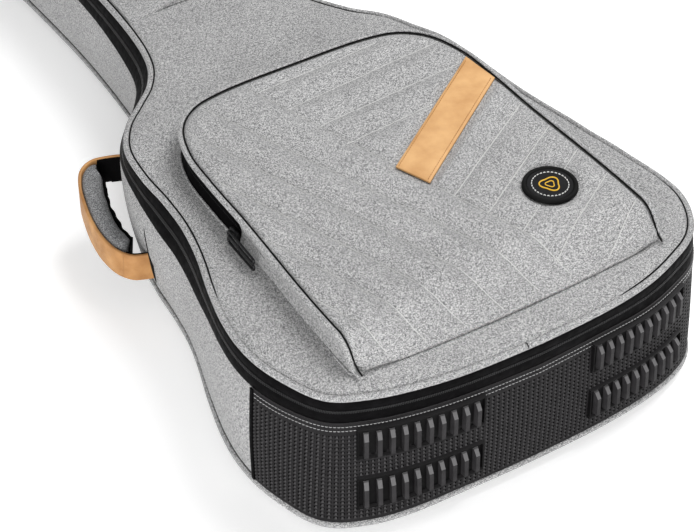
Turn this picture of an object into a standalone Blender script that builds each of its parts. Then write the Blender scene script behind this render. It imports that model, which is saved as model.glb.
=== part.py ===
"""Padded gig bag lying on its back, front pocket up.

Metres, +Z up, foot end towards -Y, head towards +Y, carry handle on -X.
Lengths along the bag are measured from the foot end; the whole bag hangs on one
empty, which puts the frame's origin in the middle of the lumbar cushion's rest face.
"""
import math

import bmesh
import bpy
from mathutils import Vector

# ---- driving dimensions -------------------------------------------------------------
BAG_LENGTH = 1.10            # outside, foot end to head end
REST_FROM_END = 0.09         # the origin's distance from the foot end
GAP = 0.0003                 # clearance between pieces that touch
CUSHION_H = 0.0092           # cushions and straps under the back panel
BACK_SKIN_Z = (0.0095, 0.0115)
BACK_FOAM_Z = (0.0118, 0.0258)
BACK_LINING_Z = (0.0261, 0.0273)
RIM_Z = (0.0118, 0.0165)     # piping round the back panel
WALL_Z = (0.0168, 0.1267)    # gusset skin and bottom guard
TAPE_Z = (0.1270, 0.1407)    # case side of the main zip
LID_TAPE_Z = (0.1413, 0.1525)
COIL_H = 0.0012
COIL_OUT = 0.0010
LID_LINING_Z = (0.1427, 0.1442)
LID_FOAM_Z = (0.1445, 0.1562)
LID_SKIN_Z = (0.1565, 0.1600)
LID_PIPING_Z = (0.1530, 0.1600)
NECK_START = 0.405           # from here to the head the lid slopes down
NECK_DROP = 0.050            # how far it slopes
WALL_SKIN = 0.0015
FOAM_IN = (0.0018, 0.0165)   # foam wall, inset from the outline
LINING_IN = (0.0168, 0.0180)
FOAM_BELOW_TAPE = 0.0014     # the wall foam's top edge, below the case tape's
NECK_POCKET = (0.595, 1.030) # stretch of the neck that its flat pocket covers
NECK_POCKET_T = 0.0055

# Half of the outside outline, foot end to head end: (half width, distance from the foot end).
HALF_OUTLINE = [
    (0.000, 0.000), (0.080, 0.002), (0.125, 0.0085), (0.160, 0.020), (0.187, 0.0365),
    (0.206, 0.065), (0.2165, 0.095), (0.2195, 0.130), (0.2155, 0.165), (0.206, 0.205),
    (0.195, 0.245), (0.187, 0.285), (0.1825, 0.325), (0.180, 0.365), (0.1745, 0.405),
    (0.158, 0.438), (0.134, 0.463), (0.112, 0.485), (0.0965, 0.510), (0.087, 0.540),
    (0.081, 0.575), (0.075, 0.640), (0.072, 0.730), (0.074, 0.850), (0.079, 0.970),
    (0.078, 1.030), (0.065, 1.075), (0.035, 1.096), (0.000, BAG_LENGTH)]

GUARD_END = 0.105            # the bottom guard's side seams
HINGE_ENDS = (0.130, 0.365)  # the lid's fabric hinge on the +X side
HINGE_X = (0.2199, 0.1830)   # outline half width at those ends, just outside the skin

FOOT_X = (0.0560, 0.1670)
FOOT_Z = {"lower": (0.033, 0.067), "upper": (0.087, 0.121)}
FOOT_PLATE = 0.0022
FOOT_RIB = 0.0030
FOOT_RIBS = 10

# Half of the front pocket's outline, lower edge to top.
HALF_POCKET = [
    (0.000, 0.038), (0.080, 0.038), (0.151, 0.038), (0.1585, 0.044), (0.160, 0.056),
    (0.1605, 0.100), (0.1595, 0.140), (0.1575, 0.1828), (0.1555, 0.230), (0.1545, 0.290),
    (0.151, 0.335), (0.137, 0.373), (0.113, 0.394), (0.080, 0.402), (0.000, 0.404)]
POCKET_FOLD = 0.1825         # line that the pocket flap folds about
POCKET_SLOPE_END = 0.056     # the face slopes down to the lid below this line
FACE_Z = (0.1850, 0.1890)
FACE_FOOT_Z = (0.1622, 0.1645)   # the face at the pocket's lower edge
POCKET_WALL = 0.0015
POCKET_TAPE_Z = (0.1606, 0.1740)
FLAP_TAPE_Z = (0.1746, 0.1845)

BADGE_AT = (0.099, 0.127)
BADGE_R = 0.0252
BADGE_RIM = 0.0046
STRIP = [(-0.0020, 0.2203), (0.0115, 0.1861), (0.1485, 0.2805), (0.1445, 0.3220)]
STRIP_T = 0.0014

# The side handle's centre line: (x, distance from the foot end, height).
HANDLE = [
    (-0.1885, 0.3600, 0.0530), (-0.1985, 0.3645, 0.0535), (-0.2075, 0.3770, 0.0550),
    (-0.2117, 0.3976, 0.0575), (-0.2110, 0.4200, 0.0610), (-0.2073, 0.4405, 0.0645),
    (-0.2003, 0.4640, 0.0690), (-0.1900, 0.4800, 0.0720), (-0.1769, 0.4850, 0.0740),
    (-0.1620, 0.4800, 0.0760), (-0.1480, 0.4725, 0.0775)]
HANDLE_ROOTS = ((-0.1800, 0.356, 0.0520), (-0.1310, 0.4640, 0.0780))
HANDLE_W = 0.031
HANDLE_T = 0.0032
GRIP_SPAN = (2, 8)           # stations of HANDLE that the padded grip covers
GRIP_T = 0.0145
GRIP_LINING_T = 0.0018

SLIDER_SIZE = (0.0130, 0.0055, 0.0100)
SHOULDER_STATION = 15        # corner of the outline where the +X shoulder's stretch starts
MAIN_SLIDERS = (("a", 0.0195), ("b", 0.0050))   # distances past that corner
MAIN_PULLER = 0.030
POCKET_SLIDER_Y = 0.2380
POCKET_PULLER = 0.046

STRAP_ROUTE = [(0.047, 0.560), (0.062, 0.500), (0.078, 0.430), (0.083, 0.360), (0.084, 0.290),
               (0.092, 0.235)]
STRAP_W = 0.050
WEB_ROUTE = [(0.0948, 0.2155), (0.0982, 0.1960), (0.1100, 0.1780), (0.1350, 0.1650), (0.1650, 0.1590)]
WEB_W = 0.025

COLOURS = {
    "heather_fabric": ((0.33, 0.34, 0.36, 1.0), 0.9, 0.0),
    "black_fabric": ((0.02, 0.02, 0.022, 1.0), 0.8, 0.0),
    "lining_fabric": ((0.03, 0.03, 0.033, 1.0), 0.85, 0.0),
    "foam": ((0.10, 0.10, 0.105, 1.0), 0.95, 0.0),
    "zip_tape": ((0.012, 0.012, 0.014, 1.0), 0.45, 0.0),
    "guard_rubber": ((0.015, 0.015, 0.017, 1.0), 0.6, 0.0),
    "foot_rubber": ((0.02, 0.02, 0.022, 1.0), 0.5, 0.0),
    "tan_leather": ((0.72, 0.42, 0.17, 1.0), 0.6, 0.0),
    "black_metal": ((0.02, 0.02, 0.02, 1.0), 0.4, 1.0),
    "buckle_plastic": ((0.02, 0.02, 0.02, 1.0), 0.35, 0.0),
}


# ---- helpers ------------------------------------------------------------------------
def clear_scene():
    for obj in list(bpy.data.objects):
        bpy.data.objects.remove(obj, do_unlink=True)


def make_material(slot):
    colour, roughness, metallic = COLOURS[slot]
    mat = bpy.data.materials.new(slot)
    mat.use_nodes = True
    shader = mat.node_tree.nodes["Principled BSDF"]
    shader.inputs["Base Color"].default_value = colour
    shader.inputs["Roughness"].default_value = roughness
    shader.inputs["Metallic"].default_value = metallic
    return mat


def add_empty(name, at, parent=None):
    empty = bpy.data.objects.new(name, None)
    empty.location = at
    empty.parent = parent
    bpy.context.collection.objects.link(empty)
    return empty


def add_mesh(name, verts, faces, slot, parent, pivot=(0.0, 0.0, 0.0)):
    """One closed body from vertices given in bag coordinates; pivot is the parent's place."""
    shift = Vector(pivot)
    bm = bmesh.new()
    made = [bm.verts.new(Vector(v) - shift) for v in verts]
    for face in faces:
        bm.faces.new([made[i] for i in face])
    bmesh.ops.recalc_face_normals(bm, faces=bm.faces)
    mesh = bpy.data.meshes.new(name)
    bm.to_mesh(mesh)
    bm.free()
    obj = bpy.data.objects.new(name, mesh)
    obj.data.materials.append(make_material(slot))
    obj.parent = parent
    bpy.context.collection.objects.link(obj)
    return obj


def tube_faces(stations, corners, closed):
    """Faces of a tube whose sections all have the same number of corners."""
    faces = []
    steps = stations if closed else stations - 1
    for i in range(steps):
        a = i * corners
        b = ((i + 1) % stations) * corners
        for k in range(corners):
            n = (k + 1) % corners
            faces.append((a + k, a + n, b + n, b + k))
    if not closed:
        faces.append(tuple(range(corners)))
        faces.append(tuple(range((stations - 1) * corners, stations * corners)))
    return faces


def mirrored(half):
    """Closed outline, from the foot end round by +X, with the -X side mirrored."""
    other = [(-x, y) for x, y in reversed(half[1:-1])]
    return half + other


def normals_of(points):
    """Outward mitre normals of a closed counter-clockwise outline."""
    result = []
    n = len(points)
    for i in range(n):
        before = Vector(points[i]) - Vector(points[i - 1])
        after = Vector(points[(i + 1) % n]) - Vector(points[i])
        n0 = Vector((before.y, -before.x)).normalized()
        n1 = Vector((after.y, -after.x)).normalized()
        mid = (n0 + n1).normalized()
        result.append(mid / max(mid.dot(n0), 0.5))
    return result


class Outline:
    """A closed polyline with offsets: positive offsets are outwards."""

    def __init__(self, points):
        self.points = [Vector(p) for p in points]
        self.normals = normals_of(points)
        self.count = len(points)

    def at(self, i, out=0.0):
        """Point at station i; between two stations it runs straight."""
        low = math.floor(i)
        share = i - low
        a = self.points[low % self.count] + self.normals[low % self.count] * out
        b = self.points[(low + 1) % self.count] + self.normals[(low + 1) % self.count] * out
        return a.lerp(b, share)

    def station(self, y, side):
        """Station where the outline passes the height y on one side (+1 or -1)."""
        for i in range(self.count):
            a = self.points[i]
            b = self.points[(i + 1) % self.count]
            if (a.x + b.x) * side <= 0 or (a.y - y) * (b.y - y) > 0 or a.y == b.y:
                continue
            return i + (y - a.y) / (b.y - a.y)
        raise ValueError("no station at that height")

    def station_x(self, x):
        """Station on the foot end where the outline passes x."""
        for i in range(-self.count // 2, self.count // 2):
            a = self.at(i)
            b = self.at(i + 1)
            if a.y > 0.2 or b.y > 0.2 or a.x > x or b.x < x:
                continue
            return i + (x - a.x) / (b.x - a.x)
        raise ValueError("no station at that x")

    def between(self, first, last):
        """Stations from first to last, with every corner between them."""
        inner = [float(i) for i in range(math.ceil(first + 0.02), math.floor(last - 0.02) + 1)]
        return [first] + inner + [last]


def drop(y):
    return NECK_DROP * max(0.0, (y - NECK_START) / (BAG_LENGTH - NECK_START))


def flat(height):
    return lambda y: height


def sloped(height):
    return lambda y: height - drop(y)


def ring(outline, outs, low, high, stations=None):
    """A wall along the outline: a closed ring, or an open strip along some stations."""
    closed = stations is None
    stations = range(outline.count) if closed else stations
    verts = []
    for i in stations:
        outer = outline.at(i, outs[0])
        inner = outline.at(i, outs[1])
        verts += [(outer.x, outer.y, low(outer.y)), (outer.x, outer.y, high(outer.y)),
                  (inner.x, inner.y, high(inner.y)), (inner.x, inner.y, low(inner.y))]
    return verts, tube_faces(len(list(stations)), 4, closed)


def plate(outline, inset, low, high, span=None):
    """A panel inside the outline, built of rungs across the bag."""
    half = outline.count // 2
    rungs = []
    for i in range(half + 1):
        p = outline.at(i, -inset)
        centre = i in (0, half)
        rungs.append((0.0 if centre else p.x, p.y))
    if span is not None:
        rungs = cut_rungs(rungs, span)
    verts = []
    faces = []
    rows = []
    for x, y in rungs:
        xs = [0.0] if x == 0.0 else [-x, x]
        row = []
        for z in (low(y), high(y)):
            row.append([len(verts) + k for k in range(len(xs))])
            verts += [(q, y, z) for q in xs]
        rows.append(row)
    for a, b in zip(rows, rows[1:]):
        for level in (0, 1):
            quad = a[level] + b[level][::-1]
            faces.append(tuple(quad))
        faces.append((a[0][0], b[0][0], b[1][0], a[1][0]))
        faces.append((a[0][-1], b[0][-1], b[1][-1], a[1][-1]))
    for row in (rows[0], rows[-1]):
        if len(row[0]) == 2:
            faces.append((row[0][0], row[0][1], row[1][1], row[1][0]))
    return verts, faces


def cut_rungs(rungs, span):
    """Keep the rungs between two heights, with a new rung on each cut."""
    low, high = span
    kept = []
    for (x0, y0), (x1, y1) in zip(rungs, rungs[1:]):
        for y in (low, high):
            if y0 < y < y1:
                share = (y - y0) / (y1 - y0)
                kept.append((x0 + (x1 - x0) * share, y))
        if low < y1 < high:
            kept.append((x1, y1))
    if low < rungs[0][1]:
        kept.insert(0, rungs[0])
    return sorted(kept, key=lambda rung: rung[1])


def box(x, y, z):
    verts = [(a, b, c) for a in x for b in y for c in z]
    faces = [(0, 1, 3, 2), (4, 5, 7, 6), (0, 1, 5, 4), (2, 3, 7, 6), (0, 2, 6, 4), (1, 3, 7, 5)]
    return verts, faces


def prism(points, low, high):
    """A flat outline extruded from one height to another."""
    n = len(points)
    verts = [(x, y, low) for x, y in points] + [(x, y, high) for x, y in points]
    faces = [tuple(range(n)), tuple(range(n, 2 * n))]
    faces += [(i, (i + 1) % n, n + (i + 1) % n, n + i) for i in range(n)]
    return verts, faces


def ribbon(route, width, low, high):
    """A flat strap along a route in plan."""
    pts = [Vector(p) for p in route]
    verts = []
    for i, p in enumerate(pts):
        along = (pts[min(i + 1, len(pts) - 1)] - pts[max(i - 1, 0)]).normalized()
        side = Vector((-along.y, along.x)) * width / 2
        for q, z in ((p - side, low), (p - side, high), (p + side, high), (p + side, low)):
            verts.append((q.x, q.y, z))
    return verts, tube_faces(len(pts), 4, False)


def place(shape, axes, at):
    """Put a shape, made round the origin, on three axes at a point."""
    verts, faces = shape
    u, v, w = (Vector(a) for a in axes)
    base = Vector(at)
    return [tuple(base + u * p[0] + v * p[1] + w * p[2]) for p in verts], faces


# ---- the case -----------------------------------------------------------------------
def build_back(bag, outline):
    add_mesh("back_panel_skin", *plate(outline, 0.0, flat(BACK_SKIN_Z[0]), flat(BACK_SKIN_Z[1])),
             "heather_fabric", bag)
    add_mesh("back_panel_foam", *plate(outline, 0.0171, flat(BACK_FOAM_Z[0]), flat(BACK_FOAM_Z[1])),
             "foam", bag)
    add_mesh("back_panel_lining",
             *plate(outline, 0.0171, flat(BACK_LINING_Z[0]), flat(BACK_LINING_Z[1])),
             "lining_fabric", bag)
    add_mesh("base_piping", *ring(outline, (0.0012, -0.0014), flat(RIM_Z[0]), flat(RIM_Z[1])),
             "heather_fabric", bag)
    for name, x, y in (("back_cushion_lumbar", (-0.150, 0.150), (0.030, 0.135)),
                       ("back_cushion_spine", (-0.017, 0.017), (0.180, 0.600)),
                       ("back_cushion_neck", (-0.050, 0.050), (0.680, 0.900))):
        add_mesh(name, *box(x, y, (0.0, CUSHION_H)), "black_fabric", bag)


def build_walls(bag, outline):
    seam_right = outline.station(GUARD_END, 1)
    seam_left = outline.station(GUARD_END, -1)
    low, high = flat(WALL_Z[0]), sloped(WALL_Z[1])
    skin = (0.0, -WALL_SKIN)
    step = GAP / 0.03
    around = outline.between(seam_right + step, seam_left - step)
    add_mesh("gusset_skin", *ring(outline, skin, low, high, around), "heather_fabric", bag)
    below = outline.between(seam_left - outline.count, seam_right)
    add_mesh("bottom_guard", *ring(outline, (0.0008, -0.0012), low, high, below), "guard_rubber", bag)
    half = outline.count / 2
    foam = (-FOAM_IN[0], -FOAM_IN[1])
    foam_low, foam_high = flat(RIM_Z[0]), sloped(TAPE_Z[1] - FOAM_BELOW_TAPE)
    for name, first, last in (("gusset_foam_right", 0.005, half - 0.005),
                              ("gusset_foam_left", half + 0.005, outline.count - 0.005)):
        stations = outline.between(first, last)
        add_mesh(name, *ring(outline, foam, foam_low, foam_high, stations), "foam", bag)
    lining = (-LINING_IN[0], -LINING_IN[1])
    add_mesh("gusset_lining", *ring(outline, lining, flat(BACK_LINING_Z[1] + GAP), foam_high),
             "lining_fabric", bag)
    hinge = (outline.station(HINGE_ENDS[0], 1), outline.station(HINGE_ENDS[1], 1))
    zip_run = outline.between(hinge[1] + step, hinge[0] - step + outline.count)
    hinge_run = outline.between(*hinge)
    tape = (0.0, -0.0012)
    coil = (COIL_OUT + GAP, GAP)
    low, high = sloped(TAPE_Z[0]), sloped(TAPE_Z[1])
    add_mesh("case_zip_tape", *ring(outline, tape, low, high, zip_run), "zip_tape", bag)
    add_mesh("case_hinge_fabric", *ring(outline, tape, low, high, hinge_run), "heather_fabric", bag)
    add_mesh("case_zip_coil", *ring(outline, coil, sloped(TAPE_Z[1] - COIL_H), high, zip_run),
             "zip_tape", bag)
    return zip_run, hinge_run


def rib_profile(outline, first, last):
    """Outline of a foot seen from above: a plate with upright ribs on its outer face."""
    back = outline.between(first, last)
    inner = [outline.at(i, 0.0008 + GAP) for i in back]
    pitch = (last - first) / FOOT_RIBS
    face = 0.0008 + GAP + FOOT_PLATE
    outer = [outline.at(first, face)]
    for k in range(FOOT_RIBS):
        start = first + pitch * (k + 0.22)
        end = first + pitch * (k + 0.78)
        for i, out in ((start, 0.0), (start, FOOT_RIB), (end, FOOT_RIB), (end, 0.0)):
            outer.append(outline.at(i, face + out))
    outer.append(outline.at(last, face))
    return [(p.x, p.y) for p in inner + outer[::-1]]


def build_feet(bag, outline):
    inner = outline.station_x(FOOT_X[0])
    outer = outline.station_x(FOOT_X[1])
    for side, first, last in (("right", inner, outer), ("left", -outer, -inner)):
        points = rib_profile(outline, first, last)
        for level, (low, high) in FOOT_Z.items():
            add_mesh(f"foot_{side}_{level}", *prism(points, low, high), "foot_rubber", bag)


def build_inside(bag):
    floor = BACK_LINING_Z[1] + GAP
    cradle = [(-0.050, floor), (-0.050, 0.0700), (-0.030, 0.0700), (-0.022, 0.0560),
              (0.022, 0.0560), (0.030, 0.0700), (0.050, 0.0700), (0.050, floor)]
    verts, faces = prism(cradle, 0.640, 0.740)
    verts = [(x, y, z) for x, z, y in verts]
    add_mesh("neck_cradle", verts, faces, "lining_fabric", bag)
    add_mesh("neck_strap", *box((-0.050, 0.050), (0.672, 0.708), (0.0703, 0.0723)), "black_fabric", bag)
    add_mesh("end_pad", *box((-0.045, 0.045), (0.0230, 0.0430), (floor, 0.1200)),
             "lining_fabric", bag)


def build_straps(bag):
    for side, name in ((-1, "left"), (1, "right")):
        pad = [(side * x, y) for x, y in STRAP_ROUTE]
        web = [(side * x, y) for x, y in WEB_ROUTE]
        add_mesh(f"shoulder_strap_{name}", *ribbon(pad, STRAP_W, 0.0004, CUSHION_H), "black_fabric", bag)
        add_mesh(f"strap_webbing_{name}", *ribbon(web, WEB_W, 0.0030, 0.0050), "black_fabric", bag)
        end, start = Vector(pad[-1]), Vector(web[0])
        along = (start - end).normalized()
        buckle = [end + along * 0.0020, start - along * 0.0020]
        add_mesh(f"strap_buckle_{name}", *ribbon(buckle, 0.034, 0.0015, 0.0065), "buckle_plastic", bag)


def build_haul_loop(bag):
    """Webbing loop at the head: both ends leave the wall, the loop stands out."""
    pivot = (0.0, BAG_LENGTH + 0.0012, 0.0600)
    holder = add_empty("haul_loop_axis", pivot, bag)
    arc = [(0.030 * math.cos(a), 0.030 * math.sin(a)) for a in
           (math.radians(d) for d in range(0, 181, 20))]
    outer = [(x, y + pivot[1] + 0.014) for x, y in arc]
    path = [(0.030, pivot[1] + 0.013)] + outer + [(-0.030, pivot[1] + 0.013)]
    pts = [Vector(p) for p in path]
    verts = []
    for i, p in enumerate(pts):
        along = (pts[min(i + 1, len(pts) - 1)] - pts[max(i - 1, 0)]).normalized()
        side = Vector((-along.y, along.x)) * 0.0013
        for q, z in ((p - side, 0.0475), (p - side, 0.0725), (p + side, 0.0725), (p + side, 0.0475)):
            verts.append((q.x, q.y, z))
    add_mesh("haul_loop", verts, tube_faces(len(pts), 4, False), "black_fabric", holder, pivot)


# ---- the lid ------------------------------------------------------------------------
def build_lid(lid, pivot, outline, zip_run, hinge_run):
    for name, inset, levels, slot in (("lid_lining", 0.0018, LID_LINING_Z, "lining_fabric"),
                                      ("lid_foam", 0.0018, LID_FOAM_Z, "foam"),
                                      ("lid_skin", 0.0045, LID_SKIN_Z, "heather_fabric")):
        panel = plate(outline, inset, sloped(levels[0]), sloped(levels[1]))
        add_mesh(name, *panel, slot, lid, pivot)
    low, high = sloped(LID_TAPE_Z[0]), sloped(LID_TAPE_Z[1])
    tape = (0.0, -0.0014)
    coil = (COIL_OUT + GAP, GAP)
    add_mesh("lid_zip_tape", *ring(outline, tape, low, high, zip_run), "zip_tape", lid, pivot)
    add_mesh("lid_hinge_fabric", *ring(outline, tape, low, high, hinge_run), "heather_fabric", lid, pivot)
    add_mesh("lid_zip_coil", *ring(outline, coil, low, sloped(LID_TAPE_Z[0] + COIL_H), zip_run),
             "zip_tape", lid, pivot)
    low, high = sloped(LID_FOAM_Z[1] + 3 * GAP), sloped(LID_PIPING_Z[1])
    add_mesh("lid_piping", *ring(outline, (0.0002, -0.0042), low, high), "heather_fabric", lid, pivot)
    neck = plate(outline, 0.0090, sloped(LID_SKIN_Z[1] + GAP), sloped(LID_SKIN_Z[1] + NECK_POCKET_T),
                 NECK_POCKET)
    add_mesh("neck_pocket_panel", *neck, "heather_fabric", lid, pivot)


def face_slope(y):
    """0 on the level face, 1 at the pocket's lower edge."""
    return min(1.0, max(0.0, (POCKET_SLOPE_END - y) / (POCKET_SLOPE_END - HALF_POCKET[0][1])))


def face_top(y):
    return FACE_Z[1] - face_slope(y) * (FACE_Z[1] - FACE_FOOT_Z[1])


def face_under(y):
    return FACE_Z[0] - face_slope(y) * (FACE_Z[0] - FACE_FOOT_Z[0])


def build_pocket(lid, pivot, pocket):
    floor = LID_SKIN_Z[1] + 0.0004
    fold = (pocket.station(POCKET_FOLD, 1), pocket.station(POCKET_FOLD, -1))
    step = GAP / 0.03
    lower_run = pocket.between(fold[1] + step - pocket.count, fold[0] - step)
    upper_run = pocket.between(*fold)
    wall = (0.0, -POCKET_WALL)
    add_mesh("pocket_gusset", *ring(pocket, wall, flat(floor), lambda y: face_under(y) - 0.0005, lower_run),
             "heather_fabric", lid, pivot)
    add_mesh("pocket_zip_tape", *ring(pocket, wall, flat(floor), flat(POCKET_TAPE_Z[1]), upper_run),
             "zip_tape", lid, pivot)
    lower = plate(pocket, 0.0034, face_under, face_top, (0.0, POCKET_FOLD - GAP))
    add_mesh("pocket_face_lower", *lower, "heather_fabric", lid, pivot)
    piping = (0.0010, -0.0031)
    add_mesh("pocket_piping_lower", *ring(pocket, piping, face_under, face_top, lower_run),
             "heather_fabric", lid, pivot)
    inset = plate(pocket, 0.0018, flat(floor), flat(floor + 0.0010), (0.062, 0.380))
    add_mesh("pocket_lining", *inset, "lining_fabric", lid, pivot)
    return upper_run, piping


def ring_profile(centre, radii, low, high, steps=28):
    """A ring, or a disc when the inner radius is zero."""
    inner, outer = radii
    turn = [2 * math.pi * k / steps for k in range(steps)]
    circle = [(centre[0] + outer * math.cos(a), centre[1] + outer * math.sin(a)) for a in turn]
    if inner == 0.0:
        return prism(circle, low, high)
    hole = [(centre[0] + inner * math.cos(a), centre[1] + inner * math.sin(a)) for a in turn]
    verts = []
    for (ox, oy), (ix, iy) in zip(circle, hole):
        verts += [(ox, oy, low), (ox, oy, high), (ix, iy, high), (ix, iy, low)]
    return verts, tube_faces(steps, 4, True)


def build_badge(lid, pivot):
    low = FACE_Z[1] + GAP
    rim = ring_profile(BADGE_AT, (BADGE_R - BADGE_RIM, BADGE_R), low, low + 0.0024)
    disc = ring_profile(BADGE_AT, (0.0, BADGE_R - BADGE_RIM - GAP), low, low + 0.0014)
    add_mesh("badge_rim", *rim, "foot_rubber", lid, pivot)
    add_mesh("badge_disc", *disc, "buckle_plastic", lid, pivot)


def build_flap(flap, pivot, pocket, upper_run, piping):
    high = flat(FLAP_TAPE_Z[1])
    wall = (0.0, -POCKET_WALL)
    add_mesh("flap_zip_tape", *ring(pocket, wall, flat(FLAP_TAPE_Z[0]), high, upper_run),
             "zip_tape", flap, pivot)
    top = plate(pocket, 0.0034, flat(FACE_Z[0]), flat(FACE_Z[1]), (POCKET_FOLD, 0.45))
    add_mesh("pocket_face_upper", *top, "heather_fabric", flap, pivot)
    add_mesh("pocket_piping_upper",
             *ring(pocket, piping, flat(FACE_Z[0]), flat(FACE_Z[1]), upper_run),
             "heather_fabric", flap, pivot)
    low = FACE_Z[1] + GAP
    add_mesh("leather_strip", *prism(STRIP, low, low + STRIP_T), "tan_leather", flap, pivot)


# ---- zips, pullers, handle ----------------------------------------------------------
def puller_shape(length):
    """A flat wire loop with a bar across it, along +X from its hinge at the origin."""
    half = 0.0032
    thick = 0.0011
    outer = [(0.0, -half), (length, -half), (length, half), (0.0, half)]
    verts = []
    for x, y in outer:
        verts += [(x, y, -thick), (x, y, thick)]
    slots = []
    middle = length * 0.45
    for x0, x1 in ((thick * 2, middle - thick), (middle + thick, length - thick * 2)):
        slots.append([(x0, -half + thick * 1.6), (x1, -half + thick * 1.6),
                      (x1, half - thick * 1.6), (x0, half - thick * 1.6)])
    return outer, slots, thick


def add_puller(name, length, axes, at, parent):
    """The loop plate with its two slots cut through it."""
    outer, slots, thick = puller_shape(length)
    bm = bmesh.new()
    u, v, w = (Vector(a) for a in axes)

    def corner(p, z):
        return bm.verts.new(u * p[0] + v * p[1] + w * z)

    loops = [[[corner(p, z) for p in loop] for z in (-thick, thick)] for loop in [outer] + slots]
    for level in (0, 1):
        o, a, b = (loop[level] for loop in loops)
        for face in ((o[0], o[1], b[1], b[0], a[1], a[0]), (o[2], o[3], a[3], a[2], b[3], b[2]),
                     (o[1], o[2], b[2], b[1]), (o[3], o[0], a[0], a[3]), (a[1], b[0], b[3], a[2])):
            bm.faces.new(face)
    for low, high in loops:
        for k in range(4):
            n = (k + 1) % 4
            bm.faces.new((low[k], low[n], high[n], high[k]))
    bmesh.ops.recalc_face_normals(bm, faces=bm.faces)
    mesh = bpy.data.meshes.new(name)
    bm.to_mesh(mesh)
    bm.free()
    obj = bpy.data.objects.new(name, mesh)
    obj.data.materials.append(make_material("black_metal"))
    obj.location = at
    obj.parent = parent
    bpy.context.collection.objects.link(obj)
    return obj


def slider_block(size):
    length, depth, height = size
    return box((-length / 2, length / 2), (0.0, depth), (-height / 2, height / 2))


def shoulder_axes(outline, at):
    """Direction up the +X shoulder, outward normal, and up, where the main sliders park."""
    a = outline.at(at)
    b = outline.at(at + 1.0)
    along = (b - a).normalized()
    out = Vector((along.y, -along.x))
    return (along.x, along.y, 0.0), (out.x, out.y, 0.0), (0.0, 0.0, 1.0)


def build_main_sliders(bag, outline):
    """Two sliders parked head to tail on the +X shoulder."""
    along, out, up = shoulder_axes(outline, SHOULDER_STATION)
    start = outline.at(SHOULDER_STATION, COIL_OUT + 2 * GAP + 0.0004)
    height = TAPE_Z[1] - 0.0032 - drop(start.y)
    for name, distance in MAIN_SLIDERS:
        at = Vector((start.x, start.y, height)) + Vector(along) * distance
        holder = add_empty(f"main_slider_{name}_axis", at, bag)
        body = place(slider_block(SLIDER_SIZE), (along, out, up), at)
        add_mesh(f"main_slider_{name}", *body, "black_metal", holder, at)
        hinge = Vector(out) * (SLIDER_SIZE[1] + 0.0016)
        axes = ((0.0, 0.0, -1.0), along, out)
        add_puller(f"main_puller_{name}", MAIN_PULLER, axes, hinge, holder)


def build_pocket_slider(lid, pivot, pocket):
    """Slider on the -X side of the pocket, its puller hanging along the gusset."""
    station = pocket.station(POCKET_SLIDER_Y, -1)
    edge = pocket.at(station, 0.0010)
    out = pocket.normals[math.floor(station) % pocket.count].normalized()
    along = Vector((-out.y, out.x)) * -1.0
    at = Vector((edge.x, edge.y, POCKET_TAPE_Z[1] - 0.0040))
    holder = add_empty("pocket_slider_axis", at - Vector(pivot), lid)
    along3, out3 = (along.x, along.y, 0.0), (out.x, out.y, 0.0)
    body = place(slider_block(SLIDER_SIZE), (along3, out3, (0.0, 0.0, 1.0)), at)
    add_mesh("pocket_slider", *body, "black_metal", holder, at)
    hinge = Vector(out3) * (SLIDER_SIZE[1] + 0.0016)
    axes = ((-along.x, -along.y, 0.0), (0.0, 0.0, 1.0), out3)
    add_puller("pocket_puller", POCKET_PULLER, axes, hinge, holder)


def strap_sections(path, layers, width, span=None):
    """Sections of a strap layer: layers are offsets from the path, outwards positive."""
    pts = [Vector(p) for p in path]
    first, last = span or (0, len(pts) - 1)
    verts = []
    for i in range(first, last + 1):
        along = (pts[min(i + 1, len(pts) - 1)] - pts[max(i - 1, 0)]).normalized()
        up = Vector((0.0, 0.0, 1.0))
        up = (up - along * up.dot(along)).normalized()
        out = up.cross(along).normalized()
        inner, outer = (pts[i] + out * d for d in layers)
        for q, s in ((inner, -1), (inner, 1), (outer, 1), (outer, -1)):
            verts.append(tuple(q + up * (s * width / 2)))
    return verts, tube_faces(last - first + 1, 4, False)


def build_handle(bag):
    pivot = HANDLE_ROOTS[0]
    holder = add_empty("side_handle_axis", pivot, bag)
    leather = (0.0, HANDLE_T)
    grip = (-GAP - GRIP_T, -GAP)
    lining = (-2 * GAP - GRIP_T - GRIP_LINING_T, -2 * GAP - GRIP_T)
    add_mesh("handle_leather", *strap_sections(HANDLE, leather, HANDLE_W), "tan_leather", holder, pivot)
    add_mesh("handle_grip", *strap_sections(HANDLE, grip, HANDLE_W, GRIP_SPAN), "heather_fabric",
             holder, pivot)
    add_mesh("handle_lining", *strap_sections(HANDLE, lining, HANDLE_W - 0.004, GRIP_SPAN),
             "black_fabric", holder, pivot)


def main():
    clear_scene()
    bag = add_empty("bag", (0.0, -REST_FROM_END, 0.0))
    outline = Outline(mirrored(HALF_OUTLINE))
    pocket = Outline(mirrored(HALF_POCKET))
    build_back(bag, outline)
    zip_run, hinge_run = build_walls(bag, outline)
    build_feet(bag, outline)
    build_inside(bag)
    build_straps(bag)
    build_haul_loop(bag)
    lid_pivot = (HINGE_X[0] + 0.0016, HINGE_ENDS[0], LID_TAPE_Z[0] - GAP)
    lid = add_empty("lid_axis", lid_pivot, bag)
    build_lid(lid, lid_pivot, outline, zip_run, hinge_run)
    upper_run, piping = build_pocket(lid, lid_pivot, pocket)
    build_badge(lid, lid_pivot)
    flap_pivot = (0.0, POCKET_FOLD - GAP / 2, FACE_Z[1])
    flap = add_empty("pocket_flap_axis", Vector(flap_pivot) - Vector(lid_pivot), lid)
    build_flap(flap, flap_pivot, pocket, upper_run, piping)
    build_main_sliders(bag, outline)
    build_pocket_slider(lid, lid_pivot, pocket)
    build_handle(bag)


main()
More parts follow.
